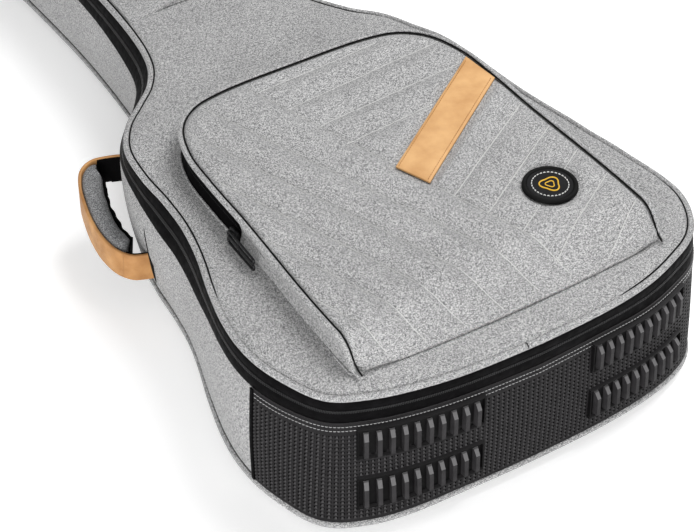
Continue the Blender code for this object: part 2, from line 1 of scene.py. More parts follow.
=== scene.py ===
"""Padded gig bag lying on its back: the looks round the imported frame.

Metres, +Z up, foot end towards -Y, head towards +Y, carry handle on -X.
Places along the bag are distances from its foot end; y_at() turns them into the frame's y.
Heights and widths are read from the CAD nodes' boxes.
"""
import math

import bmesh
import bpy
import numpy as np
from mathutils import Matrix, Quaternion, Vector, geometry, kdtree, noise


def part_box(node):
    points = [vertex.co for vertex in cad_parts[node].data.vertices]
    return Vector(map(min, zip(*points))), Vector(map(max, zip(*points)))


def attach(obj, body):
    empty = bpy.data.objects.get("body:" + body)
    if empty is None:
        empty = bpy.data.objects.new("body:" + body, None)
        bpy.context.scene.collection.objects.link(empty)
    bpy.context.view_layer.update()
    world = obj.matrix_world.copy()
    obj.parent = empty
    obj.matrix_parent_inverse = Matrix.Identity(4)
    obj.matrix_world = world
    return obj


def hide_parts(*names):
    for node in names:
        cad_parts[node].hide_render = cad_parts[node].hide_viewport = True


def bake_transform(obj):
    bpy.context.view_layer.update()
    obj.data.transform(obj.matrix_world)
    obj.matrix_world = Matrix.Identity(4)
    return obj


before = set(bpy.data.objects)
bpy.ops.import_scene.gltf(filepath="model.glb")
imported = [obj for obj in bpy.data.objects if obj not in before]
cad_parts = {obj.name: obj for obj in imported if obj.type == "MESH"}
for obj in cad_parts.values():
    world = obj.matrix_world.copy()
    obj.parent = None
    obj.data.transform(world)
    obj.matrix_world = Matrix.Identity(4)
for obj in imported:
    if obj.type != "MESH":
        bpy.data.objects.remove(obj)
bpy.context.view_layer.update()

# ---- heights and places, from the frame ---------------------------------------------
FOOT_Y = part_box("back_panel_skin")[0].y
HEAD_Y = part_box("back_panel_skin")[1].y
BACK_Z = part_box("back_panel_skin")[0].z
FLOOR_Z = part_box("back_panel_lining")[1].z
RIM_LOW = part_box("base_piping")[0].z
WALL_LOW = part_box("gusset_skin")[0].z
WALL_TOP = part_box("bottom_guard")[1].z
BAND_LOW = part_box("case_zip_tape")[1].z          # case side of the main zip ends here
LID_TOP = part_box("lid_skin")[1].z
LID_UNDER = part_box("lid_lining")[1].z
PIPING_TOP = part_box("lid_piping")[1].z
FOAM_THICK = 0.0117              # the lid's foam where it lies level
NECK_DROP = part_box("lid_foam")[1].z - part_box("lid_foam")[0].z - FOAM_THICK
FACE_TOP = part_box("pocket_face_upper")[1].z
FLAP_TAPE = (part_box("flap_zip_tape")[0].z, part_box("flap_zip_tape")[1].z)
POCKET_TAPE = (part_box("pocket_zip_tape")[0].z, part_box("pocket_zip_tape")[1].z)
FOLD_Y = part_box("pocket_face_upper")[0].y
NECK_START = 0.405               # from here to the head the lid slopes down
GUARD_END = 0.105                # the guard's side seams
HINGE = (0.130, 0.365)           # the lid's fabric hinge on +X
ZIP_END_LEFT = 0.234             # where the pocket's zip ends on -X
ZIP_END_RIGHT = 0.231            # and on +X

# Routes and corners, as (x, distance from the foot end) and for the handle also a height.
STRIP = [(-0.0020, 0.2203), (0.0115, 0.1861), (0.1485, 0.2805), (0.1445, 0.3220)]
MAIN_SEAM = ((-0.0559, 0.3913), (0.0608, 0.0387))
UPPER_SEAMS = [((-0.0493, 0.3802), (0.0850, 0.3874)), ((-0.0408, 0.3437), (0.1500, 0.3590)),
               ((-0.0326, 0.3060), (0.1520, 0.3203)), ((-0.0209, 0.2717), (0.0782, 0.2795))]
HANDLE = [
    (-0.1885, 0.3600, 0.0530), (-0.1985, 0.3645, 0.0535), (-0.2075, 0.3770, 0.0550),
    (-0.2117, 0.3976, 0.0575), (-0.2110, 0.4200, 0.0610), (-0.2073, 0.4405, 0.0645),
    (-0.2003, 0.4640, 0.0690), (-0.1900, 0.4800, 0.0720), (-0.1769, 0.4850, 0.0740),
    (-0.1620, 0.4800, 0.0760), (-0.1480, 0.4725, 0.0775)]
HANDLE_IN = [(-0.1760, 0.3560, 0.0525), (-0.1330, 0.4645, 0.0785)]   # its ends inside the gusset
STRAP_ROUTE = [(0.047, 0.560), (0.062, 0.500), (0.078, 0.430), (0.083, 0.360), (0.084, 0.290),
               (0.092, 0.235)]
WEB_ROUTE = [(0.0948, 0.2155), (0.0982, 0.1960), (0.1100, 0.1780), (0.1350, 0.1650), (0.1650, 0.1590)]

# How the soft sides lean away from the outline: (distance round the edge from the middle of the
# foot end, millimetres outwards at the floor, at the wall's top and at the lid's edge).
LEAN_LEFT = [
    (0.00, 2, 0, 2), (0.08, 1, -3, 0), (0.12, 4, -4, -1), (0.16, 8, -3, 0), (0.20, 10, 0, 2),
    (0.24, 4, 0, -1), (0.28, 2, 1, -1), (0.36, 1, 2, -1), (0.40, 0, 5, -2), (0.45, -3, 7, -2),
    (0.49, -4, 9, 0), (0.53, -5, 7, 3), (0.57, -7, 5, 3), (0.61, -8, 9, 1), (0.65, -8, 15, 0),
    (0.69, -8, 16, 0), (0.73, -9, 12, 0), (0.77, -9, 10, 0), (0.82, -9, 7, 0), (0.87, -9, 4, 0),
    (0.95, -9, 1, 0), (1.10, -7, 0, 0), (1.25, 0, 0, 0), (1.45, 0, 0, 0)]
LEAN_RIGHT = [
    (0.00, 2, 0, 2), (0.07, 3, -2, 1), (0.12, 5, 0, 0), (0.16, 9, 1, -1), (0.19, 12, 4, 1),
    (0.22, 13, 7, 4), (0.25, 11, 7, 3), (0.28, 6, 3, -2), (0.31, 2, 0, -6), (0.34, 1, 0, -6),
    (0.37, 0, 1, -5), (0.40, -1, 4, -2), (0.46, -3, 6, -1), (0.52, -4, 6, -2), (0.55, -5, 4, -4),
    (0.58, -6, 2, -6), (0.61, -7, 1, -3), (0.64, -8, -5, 8), (0.67, -8, -8, 12), (0.70, -8, 1, 15),
    (0.74, -9, 10, 13), (0.80, -9, 8, 8), (0.87, -9, 4, 4), (0.95, -9, 1, 0), (1.10, -7, 0, 0),
    (1.25, 0, 0, 0), (1.45, 0, 0, 0)]


def y_at(distance):
    """The frame's y at a distance from the foot end."""
    return FOOT_Y + distance


def drop(y):
    """How far the lid has sloped down at y."""
    share = (np.asarray(y) - y_at(NECK_START)) / (HEAD_Y - y_at(NECK_START))
    return NECK_DROP * np.clip(share, 0.0, 1.0)


def smoothstep(x, low, high):
    t = np.clip((np.asarray(x) - low) / (high - low), 0.0, 1.0)
    return t * t * (3 - 2 * t)


def ripple(points, size, seed):
    """Smooth noise from -1 to 1 at points in plan or in space, with bumps about size across."""
    shift = Vector((seed * 7.3, seed * 3.1, seed * 5.7))
    return np.array([noise.noise(Vector(p).to_3d() / size + shift) for p in points])


def centre_of(node):
    """Middle of a CAD node's box."""
    lo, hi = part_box(node)
    return (lo + hi) / 2


# ---- curves ---------------------------------------------------------------------------
def spline(points, spacing, closed=False):
    """Points at equal steps along a smooth curve through the given ones."""
    p = np.array(points, float)
    if closed:
        p = np.vstack([p[-1:], p, p[:2]])
    else:
        p = np.vstack([2 * p[:1] - p[1:2], p, 2 * p[-1:] - p[-2:-1]])
    t = np.linspace(0.0, 1.0, 24, endpoint=False)[:, None]
    dense = []
    for p0, p1, p2, p3 in zip(p, p[1:], p[2:], p[3:]):
        d0, d1, d2 = (math.sqrt(np.linalg.norm(b - a)) for a, b in ((p0, p1), (p1, p2), (p2, p3)))
        m1 = ((p1 - p0) / d0 - (p2 - p0) / (d0 + d1) + (p2 - p1) / d1) * d1
        m2 = ((p2 - p1) / d1 - (p3 - p1) / (d1 + d2) + (p3 - p2) / d2) * d1
        dense.append(p1 * (2 * t ** 3 - 3 * t ** 2 + 1) + m1 * (t ** 3 - 2 * t ** 2 + t)
                     + p2 * (3 * t ** 2 - 2 * t ** 3) + m2 * (t ** 3 - t ** 2))
    dense = np.vstack(dense + [p[-2:-1]])
    return resample(dense, spacing, closed)


def run_length(points):
    """Distance along a path at each of its points."""
    return np.concatenate([[0.0], np.cumsum(np.linalg.norm(np.diff(points, axis=0), axis=1))])


def resample(dense, spacing, closed):
    """Points at equal steps along a run of straight pieces."""
    run = run_length(dense)
    count = max(2, round(run[-1] / spacing))
    stops = np.linspace(0.0, run[-1], count + 1)
    if closed:
        stops = stops[:-1]
    return np.stack([np.interp(stops, run, dense[:, k]) for k in range(dense.shape[1])], axis=1)


class Plan:
    """A smooth closed outline in plan, counter-clockwise from the foot end round by +X."""

    def __init__(self, points):
        self.points = np.asarray(points, float)
        self.count = len(self.points)
        along = np.roll(self.points, -1, axis=0) - np.roll(self.points, 1, axis=0)
        along /= np.linalg.norm(along, axis=1)[:, None]
        self.normals = np.stack([along[:, 1], -along[:, 0]], axis=1)
        steps = np.linalg.norm(np.roll(self.points, -1, axis=0) - self.points, axis=1)
        self.step = steps.mean()

    def at(self, places, out):
        """Points at fractional stations, offset outwards."""
        places = np.asarray(places, float)
        low = np.floor(places).astype(int)
        share = (places - low)[:, None]
        low, high = low % self.count, (low + 1) % self.count
        base = self.points[low] * (1 - share) + self.points[high] * share
        normal = self.normals[low] * (1 - share) + self.normals[high] * share
        return base + normal * np.asarray(out).reshape(-1, 1)

    def outward(self, places):
        """Outward directions at fractional stations."""
        return self.at(places, 1.0) - self.at(places, 0.0)

    def station(self, distance, side):
        """Station at a distance from the foot end on one side, +1 or -1."""
        y = y_at(distance)
        for i in range(self.count):
            a, b = self.points[i], self.points[(i + 1) % self.count]
            if (a[0] + b[0]) * side > 0 and (a[1] - y) * (b[1] - y) <= 0 and a[1] != b[1]:
                return i + (y - a[1]) / (b[1] - a[1])
        raise ValueError("the outline doesn't pass there")

    def station_x(self, x):
        """Station on the foot end where the outline passes x."""
        for i in range(-self.count // 4, self.count // 4):
            a, b = self.points[i % self.count], self.points[(i + 1) % self.count]
            if a[0] <= x <= b[0] and a[1] < 0.1:
                return i + (x - a[0]) / (b[0] - a[0])
        raise ValueError("the outline doesn't pass there")

    def run(self, first, last, spacing):
        """Stations from first to last at about one spacing apart."""
        count = max(2, round((last - first) * self.step / spacing))
        return np.linspace(first, last, count + 1)

    def inset(self, amount):
        return Plan(self.points - self.normals * amount)


def half_plan(*names):
    """(half width, y) of CAD panels seen from above, foot end first."""
    seen = set()
    for name in names:
        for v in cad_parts[name].data.vertices:
            if v.co.x > -1e-6:
                seen.add((round(v.co.y, 5), round(abs(v.co.x), 5)))
    half = []
    for y, x in sorted(seen):
        if not half or math.hypot(x - half[-1][0], y - half[-1][1]) > 0.002:
            half.append((x, y))
    return half


def full_plan(half, spacing):
    other = [(-x, y) for x, y in reversed(half[1:-1])]
    return Plan(spline(half + other, spacing, closed=True))


# ---- meshes ---------------------------------------------------------------------------
def add_object(name, verts, faces):
    """One mesh object with its faces turned outwards."""
    mesh = bpy.data.meshes.new(name)
    mesh.from_pydata([tuple(map(float, v)) for v in verts], [], [tuple(map(int, f)) for f in faces])
    bm = bmesh.new()
    bm.from_mesh(mesh)
    bmesh.ops.recalc_face_normals(bm, faces=bm.faces)
    bm.to_mesh(mesh)
    bm.free()
    piece = bpy.data.objects.new(name, mesh)
    bpy.context.scene.collection.objects.link(piece)
    return piece


def add_piece(name, verts, faces, material, sharp=35.0):
    """A smooth mesh object of one material, with its edges sharp past an angle."""
    piece = add_object(name, verts, faces)
    piece.data.polygons.foreach_set("use_smooth", [True] * len(piece.data.polygons))
    piece.data.set_sharp_from_angle(angle=math.radians(sharp))
    piece.data.materials.append(material)
    return piece


def sweep(sections, loop=False):
    """Verts and faces of a tube through closed sections, an array of (stations, corners, 3)."""
    sections = np.asarray(sections, float)
    m, k = sections.shape[:2]
    faces = []
    for i in range(m if loop else m - 1):
        a, b = i * k, ((i + 1) % m) * k
        faces += [(a + j, a + (j + 1) % k, b + (j + 1) % k, b + j) for j in range(k)]
    if not loop:
        faces += [tuple(range(k)), tuple(range((m - 1) * k, m * k))]
    return sections.reshape(-1, 3), faces


def joined(parts):
    """Several (verts, faces) as one."""
    verts, faces, base = [], [], 0
    for part_verts, part_faces in parts:
        verts += [tuple(v) for v in part_verts]
        faces += [tuple(i + base for i in face) for face in part_faces]
        base += len(part_verts)
    return verts, faces


def rounded_box(width, height, radius, steps=3):
    """Closed section of a rectangle with round corners, centred."""
    radius = min(radius, width / 2 * 0.98, height / 2 * 0.98)
    section = []
    for quarter, (sx, sy) in enumerate(((1, 1), (-1, 1), (-1, -1), (1, -1))):
        cx, cy = sx * (width / 2 - radius), sy * (height / 2 - radius)
        for s in range(steps + 1):
            a = math.pi / 2 * (quarter + s / steps)
            section.append((cx + radius * math.cos(a), cy + radius * math.sin(a)))
    return np.array(section)


def circle(radius, corners=8):
    turn = np.arange(corners) * 2 * math.pi / corners
    return np.stack([radius * np.cos(turn), radius * np.sin(turn)], axis=1)


def wall(plan, stations, section, loop=False):
    """Sweeps a section of (out, height) pairs round the plan; section may be a function of y."""
    rows = []
    for station, point in zip(stations, plan.at(stations, 0.0)):
        pairs = np.asarray(section(point[1]) if callable(section) else section, float)
        xy = plan.at(np.full(len(pairs), station), pairs[:, 0])
        rows.append(np.column_stack([xy, pairs[:, 1]]))
    return sweep(rows, loop)


def path_at(plan, stations, out, height):
    """Points at stations of a plan; height is a number or a function of y."""
    xy = plan.at(stations, out)
    return np.column_stack([xy, height(xy[:, 1]) if callable(height) else np.full(len(xy), height)])


def ring_path(plan, out, height, spacing=0.003):
    """A closed path round a plan."""
    stations = np.linspace(0, plan.count, round(plan.count * plan.step / spacing), endpoint=False)
    return path_at(plan, stations, out, height)


def run_path(plan, first, last, out, height, spacing=0.003):
    """An open path along a plan between two stations."""
    return path_at(plan, plan.run(first, last, spacing), out, height)


def frames_along(path, up=(0.0, 0.0, 1.0)):
    """At each point of a path: its direction, the side across it, and up."""
    path = np.asarray(path, float)
    along = np.gradient(path, axis=0)
    along /= np.linalg.norm(along, axis=1)[:, None]
    ups = np.asarray(up, float) - along * (along @ np.asarray(up, float))[:, None]
    ups /= np.linalg.norm(ups, axis=1)[:, None]
    return along, np.cross(along, ups), ups


def tube(path, section, loop=False, up=(0.0, 0.0, 1.0), scale=None):
    """Sweeps a section of (across, up) pairs along a path in space."""
    path = np.asarray(path, float)
    if loop:
        wide = np.vstack([path[-2:], path, path[:2]])
        _, side, ups = (a[2:-2] for a in frames_along(wide, up))
    else:
        _, side, ups = frames_along(path, up)
    scale = np.ones(len(path)) if scale is None else np.asarray(scale)
    rows = [p + (s * section[:, :1] + u * section[:, 1:2]) * k
            for p, s, u, k in zip(path, side, ups, scale)]
    return sweep(rows, loop)


def inside(points, polygon):
    """Which points lie inside a closed polygon."""
    x, y = points[:, :1], points[:, 1:2]
    x0, y0 = polygon[:, 0][None], polygon[:, 1][None]
    x1, y1 = np.roll(polygon[:, 0], -1)[None], np.roll(polygon[:, 1], -1)[None]
    with np.errstate(divide="ignore", invalid="ignore"):
        crossing = x0 + (y - y0) * (x1 - x0) / (y1 - y0)
    hits = ((y0 > y) != (y1 > y)) & (x < crossing)
    return hits.sum(axis=1) % 2 == 1


def segment_distance(points, a, b):
    """Distance of each point from a straight piece."""
    a, b = np.asarray(a, float), np.asarray(b, float)
    along = b - a
    t = np.clip((points - a) @ along / (along @ along), 0.0, 1.0)
    return np.linalg.norm(points - a - t[:, None] * along, axis=1)


def edge_distance(points, polygon):
    """Distance of each point from a closed polygon's edge."""
    best = np.full(len(points), 1e9)
    for a, b in zip(polygon, np.roll(polygon, -1, axis=0)):
        best = np.minimum(best, segment_distance(points, a, b))
    return best


def fill(plan, spacing, rings=()):
    """Points and triangles over a plan: its edge first, then rings inside it and an even grid."""
    edge = plan.points
    points = [edge]
    deepest = 0.0
    for ring in rings:
        points.append(edge - plan.normals * ring)
        deepest = max(deepest, ring)
    low, high = edge.min(axis=0), edge.max(axis=0)
    xs = np.arange(low[0] + spacing / 2, high[0], spacing)
    ys = np.arange(low[1] + spacing / 2, high[1], spacing * 0.866)
    grid = np.array([(x + (row % 2) * spacing / 2, y) for row, y in enumerate(ys) for x in xs])
    grid = grid[inside(grid, edge)]
    coarse = edge[:: max(1, round(0.003 / plan.step))]
    grid = grid[edge_distance(grid, coarse) > deepest + spacing * 0.55]
    points.append(grid)
    points = np.vstack(points)
    ties = [(i, (i + 1) % len(edge)) for i in range(len(edge))]
    made = geometry.delaunay_2d_cdt([Vector(p) for p in points], ties, [], 1, 1e-7)
    names = [source[0] for source in made[3]]
    triangles = [tuple(names[i] for i in face) for face in made[2]]
    return points, triangles


def panel(plan, spacing, top, under, rings=(), under_spacing=None):
    """A closed panel over a plan between two heights, each a number or a function of the points
    in plan and their distance from the edge."""
    upper, upper_faces = fill(plan, spacing, rings)
    lower, lower_faces = fill(plan, under_spacing or spacing, rings)
    edge = plan.points[:: max(1, round(0.003 / plan.step))]
    verts = []
    for p, height in ((upper, top), (lower, under)):
        z = height(p, edge_distance(p, edge)) if callable(height) else np.full(len(p), height)
        verts.append(np.column_stack([p, z]))
    base = len(upper)
    faces = upper_faces + [tuple(i + base for i in face) for face in lower_faces]
    n = plan.count
    faces += [(i, (i + 1) % n, base + (i + 1) % n, base + i) for i in range(n)]
    return np.vstack(verts), faces


def stitch(a, b, up, radius):
    """One stitch from a to b: a short thread that dips at both ends."""
    a, b, up = np.asarray(a, float), np.asarray(b, float), np.asarray(up, float)
    path = np.array([a - up * radius, a * 0.75 + b * 0.25 + up * radius * 0.4,
                     a * 0.25 + b * 0.75 + up * radius * 0.4, b - up * radius])
    return tube(path, circle(radius, 5), up=up)


def stitches(points, normals, pitch, share=0.62, radius=0.0004):
    """A row of stitches along a path, with the surface's normal at each point."""
    run = run_length(points)
    parts = []
    for k in range(int(run[-1] / pitch)):
        ends = [np.array([np.interp(k * pitch + d, run, points[:, c]) for c in range(3)])
                for d in (0.0, pitch * share)]
        middle = k * pitch + pitch * share / 2
        up = np.array([np.interp(middle, run, normals[:, c]) for c in range(3)])
        parts.append(stitch(ends[0], ends[1], up / np.linalg.norm(up), radius))
    return joined(parts)


def wall_stitches(plan, first, last, out, height, pitch, radius):
    """Stitches along a wall of the plan."""
    stations = plan.run(first, last, 0.004)
    out_of_wall = np.pad(plan.outward(stations), ((0, 0), (0, 1)))
    return stitches(path_at(plan, stations, out, height), out_of_wall, pitch, radius=radius)


def flat_stitches(path, pitch, radius):
    """Stitches along a path on a level surface."""
    path = resample(np.asarray(path, float), 0.003, False)
    return stitches(path, np.tile((0.0, 0.0, 1.0), (len(path), 1)), pitch, radius=radius)


# ---- materials ------------------------------------------------------------------------
class Graph:
    """A material built one node at a time."""

    def __init__(self, name, roughness, **sockets):
        self.material = bpy.data.materials.new(name)
        self.material.use_nodes = True
        self.tree = self.material.node_tree
        self.shader = self.tree.nodes["Principled BSDF"]
        self.shader.inputs["Roughness"].default_value = roughness
        for key, value in sockets.items():
            self.shader.inputs[key.replace("_", " ")].default_value = value
        self.place = self.add("ShaderNodeTexCoord").outputs["Object"]

    def add(self, kind, inputs=None, **settings):
        node = self.tree.nodes.new(kind)
        for key, value in settings.items():
            setattr(node, key, value)
        for key, value in (inputs or {}).items():
            if isinstance(value, bpy.types.NodeSocket):
                self.tree.links.new(value, node.inputs[key])
            else:
                node.inputs[key].default_value = value
        return node

    def noise(self, scale, detail=2.0):
        """Noise with so many bumps a metre along each axis."""
        scale = (scale,) * 3 if isinstance(scale, (int, float)) else scale
        place = self.add("ShaderNodeMapping", {"Vector": self.place, "Scale": scale}).outputs[0]
        return self.add("ShaderNodeTexNoise", {"Vector": place, "Scale": 1.0, "Detail": detail}).outputs[0]

    def cells(self, scale, feature="F1"):
        place = self.add("ShaderNodeMapping", {"Vector": self.place, "Scale": (scale,) * 3}).outputs[0]
        node = self.add("ShaderNodeTexVoronoi", {"Vector": place, "Scale": 1.0}, feature=feature)
        return node.outputs["Distance"]

    def math(self, operation, a, b=0.0):
        return self.add("ShaderNodeMath", {0: a, 1: b}, operation=operation).outputs[0]

    def ramp(self, value, stops):
        """Colour or value from (position, grey or rgb) stops."""
        node = self.add("ShaderNodeValToRGB", {0: value})
        elements = node.color_ramp.elements
        while len(elements) < len(stops):
            elements.new(0.5)
        for element, (position, colour) in zip(elements, stops):
            rgb = (colour,) * 3 if isinstance(colour, (int, float)) else colour
            element.position = position
            element.color = (*rgb, 1.0)
        return node.outputs[0]

    def mix(self, factor, a, b, blend="MIX"):
        node = self.add("ShaderNodeMix", data_type="RGBA", blend_type=blend)
        for socket, value in ((node.inputs[0], factor), (node.inputs[6], a), (node.inputs[7], b)):
            if isinstance(value, bpy.types.NodeSocket):
                self.tree.links.new(value, socket)
            elif isinstance(value, float):
                socket.default_value = value
            else:
                socket.default_value = (*value, 1.0)
        return node.outputs[2]

    def colour(self, value):
        self.tree.links.new(value, self.shader.inputs["Base Color"])

    def roughness(self, value, low, high):
        node = self.add("ShaderNodeMapRange", {0: value, 1: 0.3, 2: 0.7, 3: low, 4: high})
        self.tree.links.new(node.outputs[0], self.shader.inputs["Roughness"])

    def bump(self, height, strength, distance):
        node = self.add("ShaderNodeBump", {"Height": height, "Strength": strength, "Distance": distance})
        self.tree.links.new(node.outputs[0], self.shader.inputs["Normal"])


def heather(name, dark, middle, light):
    """Melange canvas: short slubs of light and dark yarn along all three axes."""
    g = Graph(name, 0.9, Specular_IOR_Level=0.2, Sheen_Weight=0.1, Sheen_Roughness=0.6)
    slubs = [g.noise(scale, 1.0) for scale in ((430, 1500, 1500), (1500, 430, 1500), (1500, 1500, 430))]
    yarn = g.math("DIVIDE", g.math("ADD", g.math("ADD", slubs[0], slubs[1]), slubs[2]), 3.0)
    speck = g.noise(2300, 1.0)
    value = g.math("ADD", g.math("MULTIPLY", yarn, 0.70), g.math("MULTIPLY", speck, 0.30))
    reach = 0.070
    yarns = g.ramp(value, [(0.5 - reach, dark), (0.5, middle), (0.5 + reach, light)])
    worn = g.ramp(g.noise(14, 3.0), [(0.3, 0.90), (0.7, 1.0)])
    g.colour(g.mix(1.0, yarns, worn, "MULTIPLY"))
    g.roughness(yarn, 0.96, 0.84)
    g.bump(value, 0.5, 0.0007)
    return g.material


def smooth_black(name, colour, roughness, grain, depth, wear=1.0, shine=0.1):
    """Coated tape, rubber or moulded plastic: a fine grain and faint rub marks."""
    g = Graph(name, roughness, Specular_IOR_Level=shine)
    marks = g.noise(60, 4.0)
    base = tuple(c * 0.8 for c in colour)
    lit = tuple(min(1.0, c * (1.0 + wear)) for c in colour)
    g.colour(g.ramp(marks, [(0.35, base), (0.55, colour), (0.72, lit)]))
    g.roughness(g.noise(170, 3.0), roughness * 0.85, min(1.0, roughness * 1.2))
    g.bump(g.noise(grain, 2.0), 0.4, depth)
    return g.material


def rubber_with_painted_lit_tops(name, colour, roughness, lit_top_colour):
    """Moulded rubber with random paler marks; its faces turned upwards are painted paler, as a highlight
    from the light above.
    """
    g = Graph(name, roughness, Specular_IOR_Level=0.06)
    normal = g.add("ShaderNodeNewGeometry").outputs["Normal"]
    turned = g.add("ShaderNodeSeparateXYZ", {0: normal}).outputs[2]
    # painted highlight: faces whose normal points up take the pale lit-top colour
    lit_top = g.ramp(turned, [(0.22, 0.0), (0.62, 1.0)])
    marks = g.ramp(g.noise(90, 4.0), [(0.3, colour), (0.7, tuple(c * 1.6 for c in colour))])
    g.colour(g.mix(lit_top, marks, lit_top_colour))
    g.roughness(g.noise(240, 3.0), roughness * 0.8, roughness * 1.25)
    g.bump(g.noise(1600, 2.0), 0.3, 0.0002)
    return g.material


def leather(name, dark, light):
    """Tan leather: cloudy dye, fine creased grain."""
    g = Graph(name, 0.55, Specular_IOR_Level=0.35)
    cloud = g.noise(38, 4.0)
    g.colour(g.ramp(cloud, [(0.32, dark), (0.66, light)]))
    grain = g.math("ADD", g.cells(1100), g.math("MULTIPLY", g.noise(420, 4.0), 1.2))
    g.roughness(g.noise(300, 3.0), 0.48, 0.68)
    g.bump(grain, 0.35, 0.0004)
    return g.material


def webbing(name, colour, scale):
    """Woven black webbing or padded mesh: rows of small raised cells."""
    g = Graph(name, 0.78, Sheen_Weight=0.2)
    cell = g.cells(scale)
    g.colour(g.ramp(cell, [(0.15, tuple(c * 2.4 for c in colour)), (0.6, colour)]))
    g.roughness(g.noise(300, 2.0), 0.7, 0.9)
    g.bump(cell, 0.9, 0.0012)
    return g.material


def plush(name, colour):
    """Short-pile lining."""
    g = Graph(name, 0.95, Sheen_Weight=0.5, Sheen_Roughness=0.4)
    pile = g.noise(900, 3.0)
    g.colour(g.ramp(g.noise(45, 4.0), [(0.3, colour), (0.7, tuple(c * 1.9 for c in colour))]))
    g.roughness(pile, 0.9, 1.0)
    g.bump(pile, 0.7, 0.0011)
    return g.material


def thread(name, colour):
    """Sewing thread."""
    g = Graph(name, 0.7, Specular_IOR_Level=0.1)
    g.colour(g.ramp(g.noise(900, 2.0), [(0.3, tuple(c * 0.75 for c in colour)), (0.7, colour)]))
    g.bump(g.noise(1500, 1.0), 0.4, 0.0002)
    return g.material


def enamel(name, colour, roughness):
    """Painted metal of sliders and pullers."""
    g = Graph(name, roughness, Metallic=0.55)
    marks = g.noise(400, 4.0)
    g.colour(g.ramp(marks, [(0.4, colour), (0.75, tuple(c * 3.0 for c in colour))]))
    g.roughness(marks, roughness * 0.8, roughness * 1.5)
    g.bump(g.noise(1200, 2.0), 0.15, 0.0002)
    return g.material


HEATHER = heather("heather_fabric", (0.085, 0.086, 0.090), (0.30, 0.300, 0.302), (0.62, 0.615, 0.61))
GRIP_FABRIC = heather("grip_fabric", (0.06, 0.062, 0.066), (0.185, 0.187, 0.192), (0.40, 0.40, 0.402))
BAND = smooth_black("zip_film", (0.0022, 0.0020, 0.0023), 0.6, 900, 0.0002, shine=0.03)
COIL = smooth_black("zip_coil", (0.006, 0.006, 0.0065), 0.35, 1500, 0.0001, shine=0.25)
GUARD = rubber_with_painted_lit_tops("guard_rubber", (0.011, 0.0104, 0.011), 0.5, (0.085, 0.083, 0.085))
# Darker black for the insides of the guard's pits: painted shade in the recesses.
PIT_SHADE = smooth_black("pit_rubber_shade", (0.0015, 0.0015, 0.0015), 0.7, 900, 0.0002, shine=0.02)
# The feet are one rubber in two copies: the frame painted darker as shade of its sunk plate, the ribs
# painted paler as lit faces.
FOOT_SHADED = rubber_with_painted_lit_tops("foot_rubber", (0.0030, 0.0028, 0.0030), 0.45, (0.030, 0.029, 0.030))
RIB_LIT = rubber_with_painted_lit_tops("rib_rubber_lit", (0.022, 0.021, 0.022), 0.40, (0.145, 0.142, 0.145))
LEATHER = leather("tan_leather", (0.50, 0.262, 0.098), (0.66, 0.388, 0.168))
HANDLE_LEATHER = leather("handle_leather", (0.34, 0.155, 0.048), (0.56, 0.30, 0.115))
METAL = enamel("black_metal", (0.006, 0.006, 0.0065), 0.35)
PLASTIC = smooth_black("buckle_plastic", (0.010, 0.010, 0.011), 0.35, 1200, 0.0001, shine=0.3)
MESH_CLOTH = webbing("air_mesh", (0.010, 0.010, 0.011), 420)
WEBBING = webbing("black_webbing", (0.011, 0.011, 0.012), 1000)
LINING = plush("lining_plush", (0.013, 0.013, 0.015))
# Black thread for seams and the badge rim, also used as painted shadow in the lid piping's gap and in the
# handle slit.
SEAM_BLACK_AND_SHADOW = thread("seam_black_and_shadow", (0.006, 0.006, 0.006))
THREAD_WHITE = thread("thread_white", (0.74, 0.74, 0.72))
# Pale quilting thread, whose paleness also paints the highlight on the seams' raised lips.
THREAD_PALE_AND_HIGHLIGHT = thread("thread_pale_and_highlight", (0.60, 0.60, 0.59))
THREAD_TAN = thread("thread_tan", (0.36, 0.17, 0.055))
THREAD_GREY = thread("thread_grey", (0.50, 0.50, 0.50))
BADGE_FIELD = smooth_black("badge_field", (0.010, 0.010, 0.011), 0.6, 1300, 0.0002, 0.3)
GOLD = thread("badge_gold", (0.80, 0.48, 0.06))


# ---- shared shapes --------------------------------------------------------------------
OUTLINE = full_plan(half_plan("back_panel_skin"), 0.003)
POCKET = full_plan(half_plan("pocket_face_lower", "pocket_face_upper"), 0.0025).inset(-0.0034)
ZIP_FROM = OUTLINE.station(HINGE[1], 1)
ZIP_TO = OUTLINE.station(HINGE[0], 1) + OUTLINE.count
FOLD = (POCKET.station(FOLD_Y - FOOT_Y, 1), POCKET.station(FOLD_Y - FOOT_Y, -1))


def lean_table(rows):
    """The leaning sides as a smooth run: arc, then metres at the three levels."""
    return spline([(arc, a / 1000, b / 1000, c / 1000) for arc, a, b, c in rows], 0.004)


def edge_tree():
    """Search tree of the outline's points."""
    tree = kdtree.KDTree(OUTLINE.count)
    for i, p in enumerate(OUTLINE.points):
        tree.insert((p[0], p[1], 0.0), i)
    tree.balance()
    return tree


LEANS = (lean_table(LEAN_RIGHT), lean_table(LEAN_LEFT))
EDGE_TREE = edge_tree()
LEVELS = (RIM_LOW, BAND_LOW - 0.0137, PIPING_TOP - 0.0075)   # floor, wall's top, lid's edge


